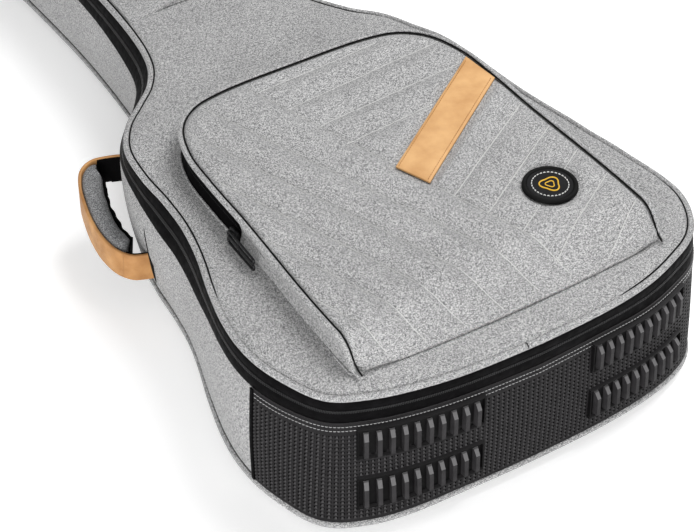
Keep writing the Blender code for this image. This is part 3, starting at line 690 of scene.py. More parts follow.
def settle(verts):
    """Lets the soft sides lean: moves points in or out, most at the edge, none in the middle."""
    verts = np.array(verts, float)
    flat = verts[:, :2]
    near = np.array([EDGE_TREE.find((x, y, 0.0))[1] for x, y in flat])
    best = np.full(len(flat), 1e9)
    station = near.astype(float)
    foot = OUTLINE.points[near].copy()
    for step in (-1, 1):
        a, b = OUTLINE.points[near], OUTLINE.points[(near + step) % OUTLINE.count]
        t = np.clip(((flat - a) * (b - a)).sum(axis=1) / ((b - a) ** 2).sum(axis=1), 0.0, 1.0)
        q = a + (b - a) * t[:, None]
        away = np.linalg.norm(flat - q, axis=1)
        better = away < best
        best[better], station[better], foot[better] = away[better], (near + step * t)[better], q[better]
    normal = OUTLINE.outward(station)
    inset = np.maximum(0.0, -((flat - foot) * normal).sum(axis=1))
    arc = (station % OUTLINE.count) * OUTLINE.step
    total = OUTLINE.count * OUTLINE.step
    right = arc <= total / 2
    height = verts[:, 2] + drop(verts[:, 1])
    floor, top, lid = (np.where(right, np.interp(arc, LEANS[0][:, 0], LEANS[0][:, k]),
                                np.interp(total - arc, LEANS[1][:, 0], LEANS[1][:, k])) for k in (1, 2, 3))
    low = np.sin(np.clip((height - LEVELS[0]) / (LEVELS[1] - LEVELS[0]), 0.0, 1.0) * math.pi / 2)
    high = np.clip((height - LEVELS[1]) / (LEVELS[2] - LEVELS[1]), 0.0, 1.0)
    out = floor + (top - floor) * low + (lid - top) * high
    depth = np.where(verts[:, 1] > y_at(0.47), 0.055, 0.085)
    verts[:, :2] += normal * (out * (1 - smoothstep(inset, 0.0, depth)))[:, None]
    return verts


def add_soft(name, verts, faces, material, sharp=35.0):
    """A piece of the soft shell, leaning with its sides."""
    return add_piece(name, settle(verts), faces, material, sharp)


def dress(piece, body, slot, *nodes):
    """The piece rides on a body and stands for CAD nodes, which are hidden; its slot is not used."""
    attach(piece, body)
    finish_piece(piece, slot, *nodes)
    return piece


def finish_piece(piece, slot, *nodes):
    """The piece stands for CAD nodes, which are hidden; its slot is not used."""
    if nodes:
        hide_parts(*nodes)


# ---- the case -------------------------------------------------------------------------
def make_gusset():
    """Soft side wall, with folds at the neck and pulled creases round the handle."""
    first = OUTLINE.station(GUARD_END, 1)
    last = OUTLINE.station(GUARD_END, -1)
    stations = OUTLINE.run(first, last, 0.004)
    thick, bulge, tuck, rows = 0.0015, 0.0022, 0.0012, 26
    t = np.linspace(0.0, 1.0, rows)
    out = bulge * np.sin(math.pi * t) - tuck * (1 - np.minimum(1.0, np.minimum(t, 1 - t) / 0.06))

    def section(y):
        outer = np.column_stack([out, WALL_LOW + t * (WALL_TOP - drop(y) - WALL_LOW)])
        return np.vstack([outer, outer[::-1] - (thick, 0.0)])

    verts, faces = wall(OUTLINE, stations, section)
    verts = np.array(verts)
    normals = np.repeat(OUTLINE.outward(stations), 2 * rows, axis=0)
    fade = np.minimum(1.0, np.minimum(verts[:, 2] - WALL_LOW, WALL_TOP - drop(verts[:, 1]) - verts[:, 2])
                      / 0.02).clip(0.0, 1.0)
    push = 0.0013 * ripple(verts * (1.0, 1.0, 0.6), 0.07, 1) * fade
    push += 0.0020 * np.array([crease(v) for v in verts]) * fade
    verts[:, :2] += normals * push[:, None]
    dress(add_soft("gusset_wall", verts, faces, HEATHER), "case", "heather_fabric", "gusset_skin")


CREASES = [  # left-side folds: (distance, height at mid, slope, half length, half width, depth)
    (0.520, 0.095, -0.9, 0.055, 0.0055, -1.7), (0.505, 0.060, -0.7, 0.045, 0.0060, -1.2),
    (0.548, 0.075, -1.1, 0.050, 0.0075, 1.0), (0.345, 0.047, 1.8, 0.020, 0.0040, -1.4),
    (0.337, 0.038, 1.1, 0.018, 0.0040, -1.0), (0.366, 0.090, 5.0, 0.030, 0.0045, -1.0),
    (0.575, 0.050, -0.8, 0.060, 0.0080, -0.9)]


def crease(point):
    """Sum of the pulled folds of the left wall at a point, about -1 to 1."""
    if point[0] > 0:
        return 0.0
    total = 0.0
    for distance, height, slope, half, width, depth in CREASES:
        d = Vector((point[1] - y_at(distance), point[2] - height))
        line = Vector((1.0, slope)).normalized()
        run = d.dot(line)
        off = d.x * line.y - d.y * line.x
        total += depth * math.exp(-(off / width) ** 2 - (run / half) ** 2)
    return total


def make_guard():
    """Textured guard round the foot end: a grid of pits pressed into a rubbery sheet, their insides painted
    darker as shade.
    """
    first = OUTLINE.station(GUARD_END, -1) - OUTLINE.count
    last = OUTLINE.station(GUARD_END, 1)
    pitch, row_h = 0.0050, 0.0042
    low, high = WALL_LOW, WALL_TOP
    pits_low, pits_high = low + 0.003, high - 0.0125
    columns = round((last - first) * OUTLINE.step / pitch)
    rows = round((pits_high - pits_low) / row_h)
    stations = np.linspace(first, last, columns + 1)
    levels = np.concatenate([[low], np.linspace(pits_low, pits_high, rows + 1), [high - 0.006, high]])
    skin = 0.0012

    def shape(z):
        t = (z - low) / (high - low)
        return skin + 0.0018 * math.sin(math.pi * t)

    verts, faces, sunk = [], [], []
    index = {}

    def vert(column, level, share_u=0.0, share_v=0.0, sink=0.0):
        key = (column, level, share_u, share_v, sink)
        if key not in index:
            station = stations[column] + share_u * (stations[1] - stations[0])
            z = levels[level] + share_v * (levels[min(level + 1, len(levels) - 1)] - levels[level])
            xy = OUTLINE.at([station], shape(z) - sink)[0]
            index[key] = len(verts)
            verts.append((xy[0], xy[1], z))
        return index[key]

    for c in range(columns):
        for r in range(len(levels) - 1):
            outer = [vert(c, r), vert(c + 1, r), vert(c + 1, r + 1), vert(c, r + 1)]
            if not 1 <= r <= rows:
                faces.append(outer)
                continue
            lip = [vert(c, r, u, v) for u, v in ((0.28, 0.16), (0.72, 0.16), (0.90, 0.80), (0.10, 0.80))]
            pit = [vert(c, r, u, v, 0.0019) for u, v in
                   ((0.38, 0.44), (0.62, 0.44), (0.80, 0.74), (0.20, 0.74))]
            for ring_a, ring_b in ((outer, lip), (lip, pit)):
                for k in range(4):
                    if ring_b is pit and k:
                        sunk.append(len(faces))
                    faces.append([ring_a[k], ring_a[(k + 1) % 4], ring_b[(k + 1) % 4], ring_b[k]])
            sunk.append(len(faces))
            faces.append(pit)
    inner_base = len(verts)
    for x, y in OUTLINE.at(stations, -0.0012):
        verts += [(x, y, low), (x, y, high)]
    top_level = len(levels) - 1
    for c in range(columns):
        a, b = inner_base + 2 * c, inner_base + 2 * c + 2
        faces.append([a, b, b + 1, a + 1])
        faces.append([vert(c, 0), vert(c + 1, 0), b, a])
        faces.append([vert(c, top_level), vert(c + 1, top_level), b + 1, a + 1])
    for c in (0, columns):
        side = [vert(c, r) for r in range(len(levels))]
        faces.append(side + [inner_base + 2 * c + 1, inner_base + 2 * c])
    piece = add_soft("guard_panel", verts, faces, GUARD, 25.0)
    # the pits' floors and upper walls take the darker black: painted shade
    piece.data.materials.append(PIT_SHADE)
    for k in sunk:
        piece.data.polygons[k].material_index = 1
    dress(piece, "case", "guard_rubber", "bottom_guard")

    rows = [wall_stitches(OUTLINE, first + 1, last - 1, skin + 0.0006, high - d, 0.0034, 0.00030)
            for d in (0.0032, 0.0080)]
    dress(add_soft("guard_stitching", *joined(rows), THREAD_GREY), "case", "guard_rubber")
    binding = []
    for station in (first, last):
        xy = OUTLINE.at([station], 0.0016)[0]
        out = OUTLINE.outward([station])[0]
        z = np.linspace(low, high, 14)
        bow = 0.0018 * np.sin(math.pi * (z - low) / (high - low))
        path = np.column_stack([xy[0] + out[0] * bow, xy[1] + out[1] * bow, z])
        binding.append(tube(path, rounded_box(0.0018, 0.0040, 0.0008), up=(out[1], -out[0], 0.0)))
    dress(add_soft("guard_binding", *joined(binding), BAND), "case", "guard_rubber")


def make_feet():
    """Moulded feet on the guard: a lipped frame with upright, chamfered ribs in it."""
    for side in ("left", "right"):
        for level in ("lower", "upper"):
            node = f"foot_{side}_{level}"
            lo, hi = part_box(node)
            first, last = sorted(OUTLINE.station_x(x) for x in (lo.x, hi.x))
            frame_parts, ribs = foot_parts(first, last, lo.z, hi.z)
            # frame in the darker copy (painted shade), ribs in the paler copy (painted light)
            piece = add_soft(node + "_moulding", *joined(frame_parts), FOOT_SHADED, 28.0)
            dress(piece, "case", "foot_rubber", node)
            dress(add_soft(node + "_ribs", *joined(ribs), RIB_LIT, 28.0), "case", "foot_rubber")


def wall_block(first, last, low, high, outs, taper, slope, steps):
    """A block on the foot wall between two stations and heights, narrowed towards its face and,
    with a slope, cut back at its top."""
    inner, outer = outs
    rows = []
    for k in range(steps + 1):
        station = first + (last - first) * k / steps
        along = (k == 0) - (k == steps)
        pairs = [(inner, low, 0.0), (outer, low + taper, 1.0), (outer, high - taper - slope, 1.0),
                 (outer - slope * 0.75, high - taper * 0.6, 0.8), (inner, high, 0.0)]
        rows.append([(*OUTLINE.at([station + along * pull * taper / OUTLINE.step], out)[0], z)
                     for out, z, pull in pairs])
    return sweep(rows)


def foot_parts(first, last, low, high):
    """The lipped frame with its sunk plate, and the ribs."""
    bow = 0.0015 * math.sin(math.pi * ((low + high) / 2 - WALL_LOW) / (WALL_TOP - WALL_LOW))
    back = 0.0012 + bow
    lip, lip_w, chamfer = 0.0032, 0.0024, 0.0007
    wide = lip_w / OUTLINE.step
    steps = 24
    parts = [wall_block(first, last, low, high, (back - 0.001, back + 0.0005), 0.0003, 0.0, steps)]
    for z0, z1 in ((low, low + lip_w), (high - lip_w, high)):
        parts.append(wall_block(first, last, z0, z1, (back, back + lip), chamfer, 0.0, steps))
    for a in (first, last - wide):
        parts.append(wall_block(a, a + wide, low + lip_w, high - lip_w, (back, back + lip), chamfer, 0.0, 1))
    count = 10
    pitch = (last - first - 2 * wide) / count
    ribs = []
    for k in range(count):
        start = first + wide + pitch * (k + 0.27)
        ribs.append(wall_block(start, start + pitch * 0.46, low + lip_w + 0.0010, high - lip_w - 0.0030,
                               (back, back + 0.0062), chamfer, 0.0052, 1))
    return parts, ribs


def make_base_rim():
    """Fabric piping where the wall meets the back panel."""
    path = ring_path(OUTLINE, -0.0002, RIM_LOW + 0.0009)
    piece = add_soft("base_rim", *tube(path, circle(0.0025, 12) * (1.0, 1.30), True), HEATHER)
    dress(piece, "case", "heather_fabric", "base_piping")


def band_section(low, high, crown):
    """Section of a tape along the wall, as a function of y."""
    def section(y):
        z = np.linspace(low, high, 7) - drop(y)
        out = crown * np.sin(np.linspace(0.0, math.pi, 7)) + 0.0002
        return np.vstack([np.column_stack([out, z]), [(-0.0012, z[-1]), (-0.0012, z[0])]])
    return section


def teeth(plan, first, last, pitch, size, out, height):
    """A row of small upright teeth along a wall."""
    parts = []
    count = int((last - first) * plan.step / pitch)
    half_w, half_h, proud = size
    stations = first + (np.arange(count) + 0.5) * pitch / plan.step
    wide = half_w / plan.step
    for station in stations:
        y = plan.at([station], 0.0)[0][1]
        z = height - (drop(y) if plan is OUTLINE else 0.0)
        rows = []
        for s, o in ((-1, out), (-0.6, out + proud), (0.6, out + proud), (1, out)):
            xy = plan.at([station + s * wide], o)[0]
            rows.append([(xy[0], xy[1], z - half_h), (xy[0], xy[1], z + half_h)])
        verts = [v for row in rows for v in row]
        faces = [(0, 2, 3, 1), (2, 4, 5, 3), (4, 6, 7, 5), (6, 0, 1, 7), (0, 6, 4, 2), (1, 3, 5, 7)]
        parts.append((verts, faces))
    return joined(parts)


def make_main_zip():
    """Coated zip band all round but the hinge: two tapes with the coil between them."""
    middle = BAND_LOW + 0.0003
    stations = OUTLINE.run(ZIP_FROM + 0.3, ZIP_TO - 0.3, 0.004)
    low, high = WALL_TOP + 0.0002, PIPING_TOP - 0.0062
    for name, body, levels, node in (
            ("zip_band_case", "case", (low, middle - 0.0012), "case_zip_tape"),
            ("zip_band_lid", "lid", (middle + 0.0012, high), "lid_zip_tape")):
        piece = add_soft(name, *wall(OUTLINE, stations, band_section(*levels, 0.0007)), BAND)
        dress(piece, body, "zip_tape", node)
    for name, body, at, node in (("zip_teeth_case", "case", middle - 0.0009, "case_zip_coil"),
                                 ("zip_teeth_lid", "lid", middle + 0.0009, "lid_zip_coil")):
        strip = band_section(at - 0.0008, at + 0.0008, 0.0)
        rows = [wall(OUTLINE, stations, strip),
                teeth(OUTLINE, stations[0], stations[-1], 0.0021, (0.0006, 0.0007, 0.0006), 0.0003, at)]
        dress(add_soft(name, *joined(rows), COIL), body, "zip_tape", node)
    hinge = OUTLINE.run(OUTLINE.station(HINGE[0], 1) + 0.3, ZIP_FROM - 0.3, 0.004)

    def hinge_section(y):
        z = np.linspace(low, high, 15)
        out = 0.0012 * np.sin(np.linspace(0.0, math.pi, 15))
        return np.vstack([np.column_stack([out, z]), np.column_stack([out - 0.0014, z])[::-1]])
    piece = add_soft("hinge_fabric", *wall(OUTLINE, hinge, hinge_section), HEATHER)
    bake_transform(piece)
    finish_piece(piece, "heather_fabric", "case_hinge_fabric", "lid_hinge_fabric")


def make_back():
    """Back panel with its edge rolled up towards the rim."""
    plan = OUTLINE.inset(0.0012)

    def under(p, edge):
        roll = 0.0022 * (1 - smoothstep(edge, 0.0, 0.012))
        return BACK_Z + roll + 0.0005 * ripple(p, 0.09, 4)
    shell = panel(plan, 0.009, RIM_LOW + 0.0002, under, (0.004, 0.010))
    piece = add_soft("back_panel", *shell, HEATHER)
    dress(piece, "case", "heather_fabric", "back_panel_skin")


def channels(y, depth):
    """Depth of the sewn channels that cross a lining."""
    away = np.abs((y * 10 + 0.3) % 1.2 - 0.6) / 10
    return depth * np.exp(-(away / 0.004) ** 2)


def make_interior():
    """Plush tub inside: padded wall with a rolled top edge, and a quilted floor."""
    inner = abs(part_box("gusset_lining")[0].y - FOOT_Y) + 0.0012
    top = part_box("gusset_lining")[1].z
    outer, roll, low = 0.0019, 0.006, RIM_LOW + 0.0006

    def section(y):
        z_top = top - float(drop(y))
        pairs = [(-outer, low), (-outer, z_top - roll * 0.5), (-outer - roll * 0.4, z_top - 0.0004),
                 (-inner + roll * 0.6, z_top), (-inner - 0.0004, z_top - roll * 0.8)]
        pairs += [(-inner - 0.0008 * math.sin(math.pi * t), z_top - roll - t * (z_top - roll - FLOOR_Z))
                  for t in (0.25, 0.5, 0.75)]
        pairs += [(-inner + 0.002, FLOOR_Z - 0.004), (-inner + 0.004, low)]
        return pairs
    stations = np.linspace(0, OUTLINE.count, OUTLINE.count // 2, endpoint=False)
    piece = add_soft("wall_padding", *wall(OUTLINE, stations, section, True), LINING)
    dress(piece, "case", "lining_fabric", "gusset_foam_left", "gusset_foam_right", "gusset_lining")

    plan = OUTLINE.inset(0.0150)

    def floor(p, edge):
        return FLOOR_Z - 0.0004 - channels(p[:, 1], 0.0018)
    pad = panel(plan, 0.007, floor, RIM_LOW + 0.0007, (0.005,), 0.02)
    piece = add_soft("floor_padding", *pad, LINING)
    dress(piece, "case", "lining_fabric", "back_panel_foam", "back_panel_lining")


def inflate(verts, faces, voxel, pressure, cap, name):
    """The shape swollen by a short cloth run: its remeshed verts and faces."""
    work = add_object(name, verts, faces)
    remesh = work.modifiers.new("remesh", "REMESH")
    remesh.mode = "VOXEL"
    remesh.voxel_size = voxel
    bpy.context.view_layer.update()
    dense = bpy.data.meshes.new_from_object(work.evaluated_get(bpy.context.evaluated_depsgraph_get()))
    work.modifiers.clear()
    work.data = dense
    rest = np.array([v.co for v in dense.vertices])
    cloth = work.modifiers.new("cloth", "CLOTH")
    cloth.settings.use_pressure = True
    cloth.settings.uniform_pressure_force = pressure
    cloth.settings.effector_weights.gravity = 0.0
    cloth.settings.quality = 6
    cloth.point_cache.frame_start = 1
    cloth.point_cache.frame_end = 20
    for step in range(1, 21):
        bpy.context.scene.frame_set(step)
    swollen = work.evaluated_get(bpy.context.evaluated_depsgraph_get()).to_mesh()
    moved = np.array([v.co for v in swollen.vertices])
    bpy.context.scene.frame_set(1)
    shift = moved - rest
    size = np.linalg.norm(shift, axis=1)[:, None]
    rest = rest + shift * np.minimum(1.0, cap / np.maximum(size, 1e-9))
    faces = [tuple(p.vertices) for p in dense.polygons]
    bpy.data.objects.remove(work)
    return rest, faces


def make_cushions():
    """Three mesh-covered pads that the bag rests on, each swollen by a short cloth run."""
    for node, inset, grooves in (("back_cushion_lumbar", 0.008, (-0.05, 0.05)),
                                 ("back_cushion_spine", 0.004, ()),
                                 ("back_cushion_neck", 0.006, (0.0,))):
        lo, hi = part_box(node)
        slab = rounded_slab((lo.x + inset, hi.x - inset), (lo.y + inset, hi.y - inset),
                            (0.0022, BACK_Z - 0.0012), 0.012)
        verts, faces = inflate(*slab, 0.004, 4.0, 0.006, node + "_work")
        for x in grooves:
            away = np.abs(verts[:, 0] - x)
            verts[:, 2] += 0.0030 * np.exp(-(away / 0.005) ** 2) * (verts[:, 2] < 0.005)
        verts[:, 2] = np.clip(verts[:, 2], 0.0001, BACK_Z + 0.0004)
        piece = add_piece(node + "_pad", verts, faces, MESH_CLOTH, 60.0)
        dress(piece, "case", "black_fabric", node)


def rounded_slab(xs, ys, zs, radius):
    """A level slab with round corners in plan."""
    ring = rounded_box(xs[1] - xs[0], ys[1] - ys[0], radius, 5)
    return prism(ring + ((xs[0] + xs[1]) / 2, (ys[0] + ys[1]) / 2), zs)


def prism(ring, zs):
    """A closed level slab over a ring of points in plan, between two heights."""
    n = len(ring)
    verts = [(x, y, z) for z in zs for x, y in ring]
    faces = [tuple(range(n)), tuple(range(n, 2 * n))]
    faces += [(i, (i + 1) % n, n + (i + 1) % n, n + i) for i in range(n)]
    return verts, faces


def make_straps():
    """Padded shoulder straps folded flat under the bag, their webbing and buckles."""
    for side, name in ((-1, "left"), (1, "right")):
        path = spline([(side * x, y_at(d), 0.0048) for x, d in STRAP_ROUTE], 0.006)
        pad = rounded_box(0.050, 0.0080, 0.0039, 4)
        piece = add_piece(f"strap_pad_{name}", *tube(path, pad), MESH_CLOTH, 60.0)
        dress(piece, "case", "black_fabric", f"shoulder_strap_{name}")
        edges = []
        _, across, _ = frames_along(path)
        for off in (-0.0205, 0.0205):
            line = path + across * off - (0.0, 0.0, 0.0040)
            edges.append(stitches(line, np.tile((0.0, 0.0, -1.0), (len(line), 1)), 0.005, 0.6, 0.0004))
        dress(add_piece(f"strap_stitching_{name}", *joined(edges), THREAD_GREY), "case", "black_fabric")
        web = spline([(side * x, y_at(d), 0.0040) for x, d in WEB_ROUTE], 0.004)
        piece = add_piece(f"strap_web_{name}", *tube(web, rounded_box(0.025, 0.0020, 0.0009)), WEBBING)
        dress(piece, "case", "black_fabric", f"strap_webbing_{name}")
        make_buckle(name, centre_of(f"strap_buckle_{name}"), Vector(web[0]) - Vector(path[-1]))


def make_buckle(name, centre, along):
    """Ladder-lock buckle: a frame with two bars."""
    along = Vector((along.x, along.y, 0.0)).normalized()
    side = Vector((-along.y, along.x, 0.0))
    parts = []
    for across in (-0.0150, 0.0150):
        ends = [centre + side * across + along * d for d in (-0.0070, 0.0070)]
        parts.append(tube(resample(np.array(ends), 0.004, False), rounded_box(0.0036, 0.0048, 0.0014)))
    for d in (-0.0055, 0.0, 0.0055):
        ends = [centre + along * d + side * s for s in (-0.0150, 0.0150)]
        parts.append(tube(resample(np.array(ends), 0.005, False), rounded_box(0.0030, 0.0036, 0.0013)))
    piece = add_piece(f"strap_slider_{name}", *joined(parts), PLASTIC)
    dress(piece, "case", "buckle_plastic", f"strap_buckle_{name}")


def make_inside_fittings():
    """Neck cradle with its strap, and the pad at the foot end."""
    lo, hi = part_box("neck_cradle")
    low = lo.z
    xs = np.linspace(-0.0495, 0.0495, 41)
    valley = 0.0565 + 0.0130 * smoothstep(np.abs(xs), 0.021, 0.033)
    ends = smoothstep(np.abs(xs), 0.0495, 0.043)
    top = (low + 0.006) + (valley - low - 0.006) * ends
    section = [(x, z) for x, z in zip(xs, top)] + [(0.0495, low), (-0.0495, low)]
    ys = np.linspace(lo.y + 0.0005, hi.y - 0.0005, 25)
    rows = []
    for y in ys:
        edge = min(y - ys[0], ys[-1] - y)
        shrink = 0.004 * (1 - float(smoothstep(edge, 0.0, 0.012)))
        rows.append([(x * (1 - shrink / 0.05), y, max(low, z - shrink)) for x, z in section])
    piece = add_piece("cradle_block", *sweep(rows), LINING, 50.0)
    dress(piece, "case", "lining_fabric", "neck_cradle")
    lo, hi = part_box("neck_strap")
    middle = (lo.y + hi.y) / 2
    z = (lo.z + hi.z) / 2
    path = np.array([(x, middle, z) for x in np.linspace(lo.x + 0.001, hi.x - 0.001, 20)])
    piece = add_piece("cradle_strap", *tube(path, rounded_box(0.034, 0.0018, 0.0008)), WEBBING)
    dress(piece, "case", "black_fabric", "neck_strap")
    lo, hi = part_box("end_pad")
    slab = rounded_slab((lo.x + 0.002, hi.x - 0.002), (lo.y + 0.002, hi.y - 0.002),
                        (lo.z + 0.001, hi.z - 0.002), 0.006)
    verts, faces = inflate(*slab, 0.005, 4.0, 0.002, "end_pad_work")
    verts[:, 2] = verts[:, 2].clip(lo.z, hi.z)
    piece = add_piece("end_cushion", verts, faces, LINING, 60.0)
    dress(piece, "case", "lining_fabric", "end_pad")


def make_haul_loop():
    """Webbing loop at the head, on its own hinge line."""
    lo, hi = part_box("haul_loop")
    z = (lo.z + hi.z) / 2
    radius = (hi.x - lo.x) / 2 - 0.0013
    base = lo.y + 0.0008
    turn = np.radians(np.linspace(0, 180, 25))
    arc = [(radius * math.cos(a), hi.y - radius - 0.0013 + radius * math.sin(a), z) for a in turn]
    path = spline([(radius, base, z)] + arc + [(-radius, base, z)], 0.003)
    section = rounded_box(0.0026, 0.0250, 0.0010)
    piece = add_piece("haul_strap", *tube(path, section), WEBBING)
    dress(piece, "haul_loop", "black_fabric", "haul_loop")


# ---- the lid --------------------------------------------------------------------------
def lid_height(p, edge):
    """Top of the lid: tucked under its piping, gently crowned, with slow waves."""
    roll = np.clip(1 - edge / 0.011, 0.0, 1.0)
    tuck = 0.0040 * (1 - np.sqrt(1 - roll * roll * 0.96))
    crown = 0.0022 * smoothstep(edge, 0.004, 0.050)
    waves = 0.0009 * ripple(p, 0.085, 2) * smoothstep(edge, 0.0, 0.04)
    covered = inside(p, POCKET.points) * smoothstep(edge_distance(p, POCKET.points[::3]), 0.001, 0.012)
    return LID_TOP - drop(p[:, 1]) - tuck + (crown + waves) * (1 - covered)


PIPING_GAP_SHADOW_ARCS = [(0.088, 0.275), (0.640, 2.345)]   # arcs where a black line is painted as the shadow of the gap between the piping and the lid


def make_lid():
    """Lid shell, its piping with a black line painted as the shadow of the gap beside it, and the padding
    under it.
    """
    plan = OUTLINE.inset(0.0040)

    def under(p, edge):
        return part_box("lid_foam")[1].z + 0.0002 - drop(p[:, 1])
    shell = panel(plan, 0.0055, lid_height, under, (0.0022, 0.0048, 0.0082, 0.0125), 0.02)
    dress(add_soft("lid_shell", *shell, HEATHER), "lid", "heather_fabric", "lid_skin")
    path = ring_path(OUTLINE, -0.0016, lambda y: PIPING_TOP - 0.0040 - drop(y))
    cord = add_soft("lid_piping_cord", *tube(path, circle(0.0030, 12), True), HEATHER)
    dress(cord, "lid", "heather_fabric", "lid_piping")
    per = 1 / OUTLINE.step
    # black tubes where the piping stands open: painted shadow of the gap
    gaps = []
    for first, last in PIPING_GAP_SHADOW_ARCS:
        line = run_path(OUTLINE, first * per, last * per, -0.0048,
                        lambda y: PIPING_TOP - 0.0027 - drop(y))
        share = np.linspace(0.0, 1.0, len(line))
        taper = np.clip(np.minimum(share, 1 - share) * (last - first) / 0.03, 0.1, 1.0) ** 0.5
        gaps.append(tube(line, circle(0.0011, 6), scale=taper))
    dress(add_soft("lid_piping_gap_shadow", *joined(gaps), SEAM_BLACK_AND_SHADOW), "lid", "heather_fabric")
    x, y = OUTLINE.at([-0.0165 * per], 0.0)[0]
    bar = [(x, y - 0.0012, PIPING_TOP - 0.0042), (x, y - 0.0002, PIPING_TOP - 0.0012),
           (x, y + 0.0022, PIPING_TOP - 0.0008), (x, y + 0.0044, PIPING_TOP - 0.0030)]
    mark = tube(spline(bar, 0.001), circle(0.0005, 6), up=(1.0, 0.0, 0.0))
    dress(add_soft("lid_piping_joint", *mark, SEAM_BLACK_AND_SHADOW), "lid", "heather_fabric")
    pad_plan = OUTLINE.inset(0.0021)
    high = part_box("lid_foam")[1].z - 0.0003
    low = LID_UNDER - 0.0013

    def pad_top(p, edge):
        return high - drop(p[:, 1]) - 0.0020 * (1 - smoothstep(edge, 0.0, 0.006))

    def pad_under(p, edge):
        rolled = 0.0035 * (1 - smoothstep(edge, 0.0, 0.010))
        return low - drop(p[:, 1]) + rolled + channels(p[:, 1], 0.0022)
    pad = panel(pad_plan, 0.02, pad_top, pad_under, (0.003, 0.007, 0.012), 0.007)
    piece = add_soft("lid_padding", *pad, LINING, 50.0)
    dress(piece, "lid", "lining_fabric", "lid_foam", "lid_lining")


def make_neck_panel():
    """Flat pocket on the neck: sewn down at its sides, standing open at its lower edge."""
    lo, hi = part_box("neck_pocket_panel")
    start, end = lo.y, hi.y
    ys = np.concatenate([np.linspace(start, start + 0.02, 8), np.linspace(start + 0.03, end, 60)])
    rows = []
    for y in ys:
        half = OUTLINE.at([OUTLINE.station(y - FOOT_Y, 1)], -0.0062)[0][0]
        t = np.linspace(-1.0, 1.0, 33)
        x = t * half
        edge = (1 - np.abs(t)) * half
        open_mouth = 1 - float(smoothstep(y, start, start + 0.16))
        rise = (0.0016 + 0.0052 * open_mouth) * smoothstep(edge, 0.004, 0.045) + 0.0008
        base = LID_TOP - float(drop(y)) + 0.0004
        ripple_z = 0.0007 * ripple(np.column_stack([x, np.full(len(x), y)]), 0.05, 6)
        z = base + rise + ripple_z * smoothstep(edge, 0.0, 0.02)
        if y == ys[0]:
            z = z - 0.0008
        under = base - 0.0028 + (rise - 0.0016).clip(0.0) * open_mouth
        rows.append([(a, y, b) for a, b in zip(x, z)] + [(a, y, b) for a, b in zip(x[::-1], under[::-1])])
    piece = add_soft("neck_pocket", *sweep(rows), HEATHER, 50.0)
    dress(piece, "lid", "heather_fabric", "neck_pocket_panel")
    xs = np.linspace(-0.052, 0.052, 40)
    row_y = y_at(0.601)
    level = LID_TOP - float(drop(row_y)) + 0.0078
    line = [(x, row_y, level - 0.0056 * (1 - float(smoothstep(0.07 - abs(x), 0.004, 0.045)))) for x in xs]
    dress(add_soft("neck_pocket_stitching", *flat_stitches(line, 0.004, 0.0003), THREAD_GREY), "lid",
          "heather_fabric")


# ---- the pocket -----------------------------------------------------------------------
SLOPE_START = 0.038              # the face rises from its lower edge here
EDGE_X = 0.157                   # where its side edges run
QUILT_SLOPE = 0.6                # of the cross seams on the right
GUSSET_FOOT = LID_TOP + 0.0004
HEM = 0.0054                     # the face's lower edge stands this far above the lid
BADGE = centre_of("badge_rim")
BADGE_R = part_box("badge_rim")[1].x - BADGE.x


def face_base(p):
    """The pocket face without its quilting: level, then down to the lid at the lower edge."""
    distance = p[:, 1] - FOOT_Y
    reach = 0.030 + 0.016 * (1 - smoothstep(np.abs(p[:, 0]), 0.06, 0.155))
    rise = smoothstep(distance, SLOPE_START, SLOPE_START + reach)
    lift = np.sqrt(np.clip((distance - SLOPE_START) / reach, 0.0, 1.0)) * 0.35 + rise * 0.65
    return GUSSET_FOOT + HEM + (FACE_TOP - GUSSET_FOOT - HEM - 0.0010) * lift


def quilt_seams():
    """Every sewn line of the quilted face, in the frame's x and y."""
    seams = [MAIN_SEAM] + UPPER_SEAMS
    (x0, d0), (x1, d1) = MAIN_SEAM
    slope = (x1 - x0) / (d1 - d0)
    for rise in (0.149, 0.107, 0.065, 0.023, -0.019):
        x = (x0 + slope * (rise - d0)) / (1 - QUILT_SLOPE * slope)
        x = max(x, (SLOPE_START - rise) / QUILT_SLOPE)
        seams.append(((x, rise + QUILT_SLOPE * x), (0.160, rise + QUILT_SLOPE * 0.160)))
    for x in (0.0025, -0.0369, -0.0752, -0.1128, -0.1483):
        seams.append(((x - 0.375 * (0.030 - 0.1), 0.030), (x - 0.375 * (0.400 - 0.1), 0.400)))
    return [((a[0], y_at(a[1])), (b[0], y_at(b[1]))) for a, b in seams]


def strip_cover(p):
    """1 under the leather strip, 0 away from it."""
    corners = np.array([(x, y_at(d)) for x, d in STRIP])
    away = edge_distance(p, corners)
    away[inside(p, corners)] = 0.0
    return 1 - smoothstep(away, 0.0, 0.010)


def face_height(p, edge):
    """Quilted face: puffed between its seams, drawn in along them."""
    near = np.full(len(p), 1.0)
    for a, b in quilt_seams():
        near = np.minimum(near, segment_distance(p, a, b))
    from_badge = np.hypot(p[:, 0] - BADGE.x, p[:, 1] - BADGE.y)
    under_badge = 1 - smoothstep(from_badge, BADGE_R - 0.001, BADGE_R + 0.009)
    free = smoothstep(edge, 0.0, 0.016) * (1 - strip_cover(p)) * (1 - under_badge)
    puff = 0.0040 * smoothstep(near, -0.004, 0.016) - 0.0010 * np.exp(-(near / 0.0020) ** 2)
    pucker = 0.0007 * ripple(p, 0.008, 3) * np.exp(-near / 0.007)
    waves = 0.0009 * ripple(p, 0.060, 5)
    roll = 0.0020 * (1 - smoothstep(edge, 0.0, 0.0050))
    flat_parts = 0.0008 * strip_cover(p) + 0.0012 * under_badge
    return face_base(p) + (puff + pucker + waves) * free - roll - flat_parts


def fold_blend(piece):
    """Bakes the piece's placement into its mesh."""
    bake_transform(piece)


def side_height(y, up):
    """Height above or below the face's side edges at each y."""
    return face_base(np.column_stack([np.full(len(y), EDGE_X), y])) + up


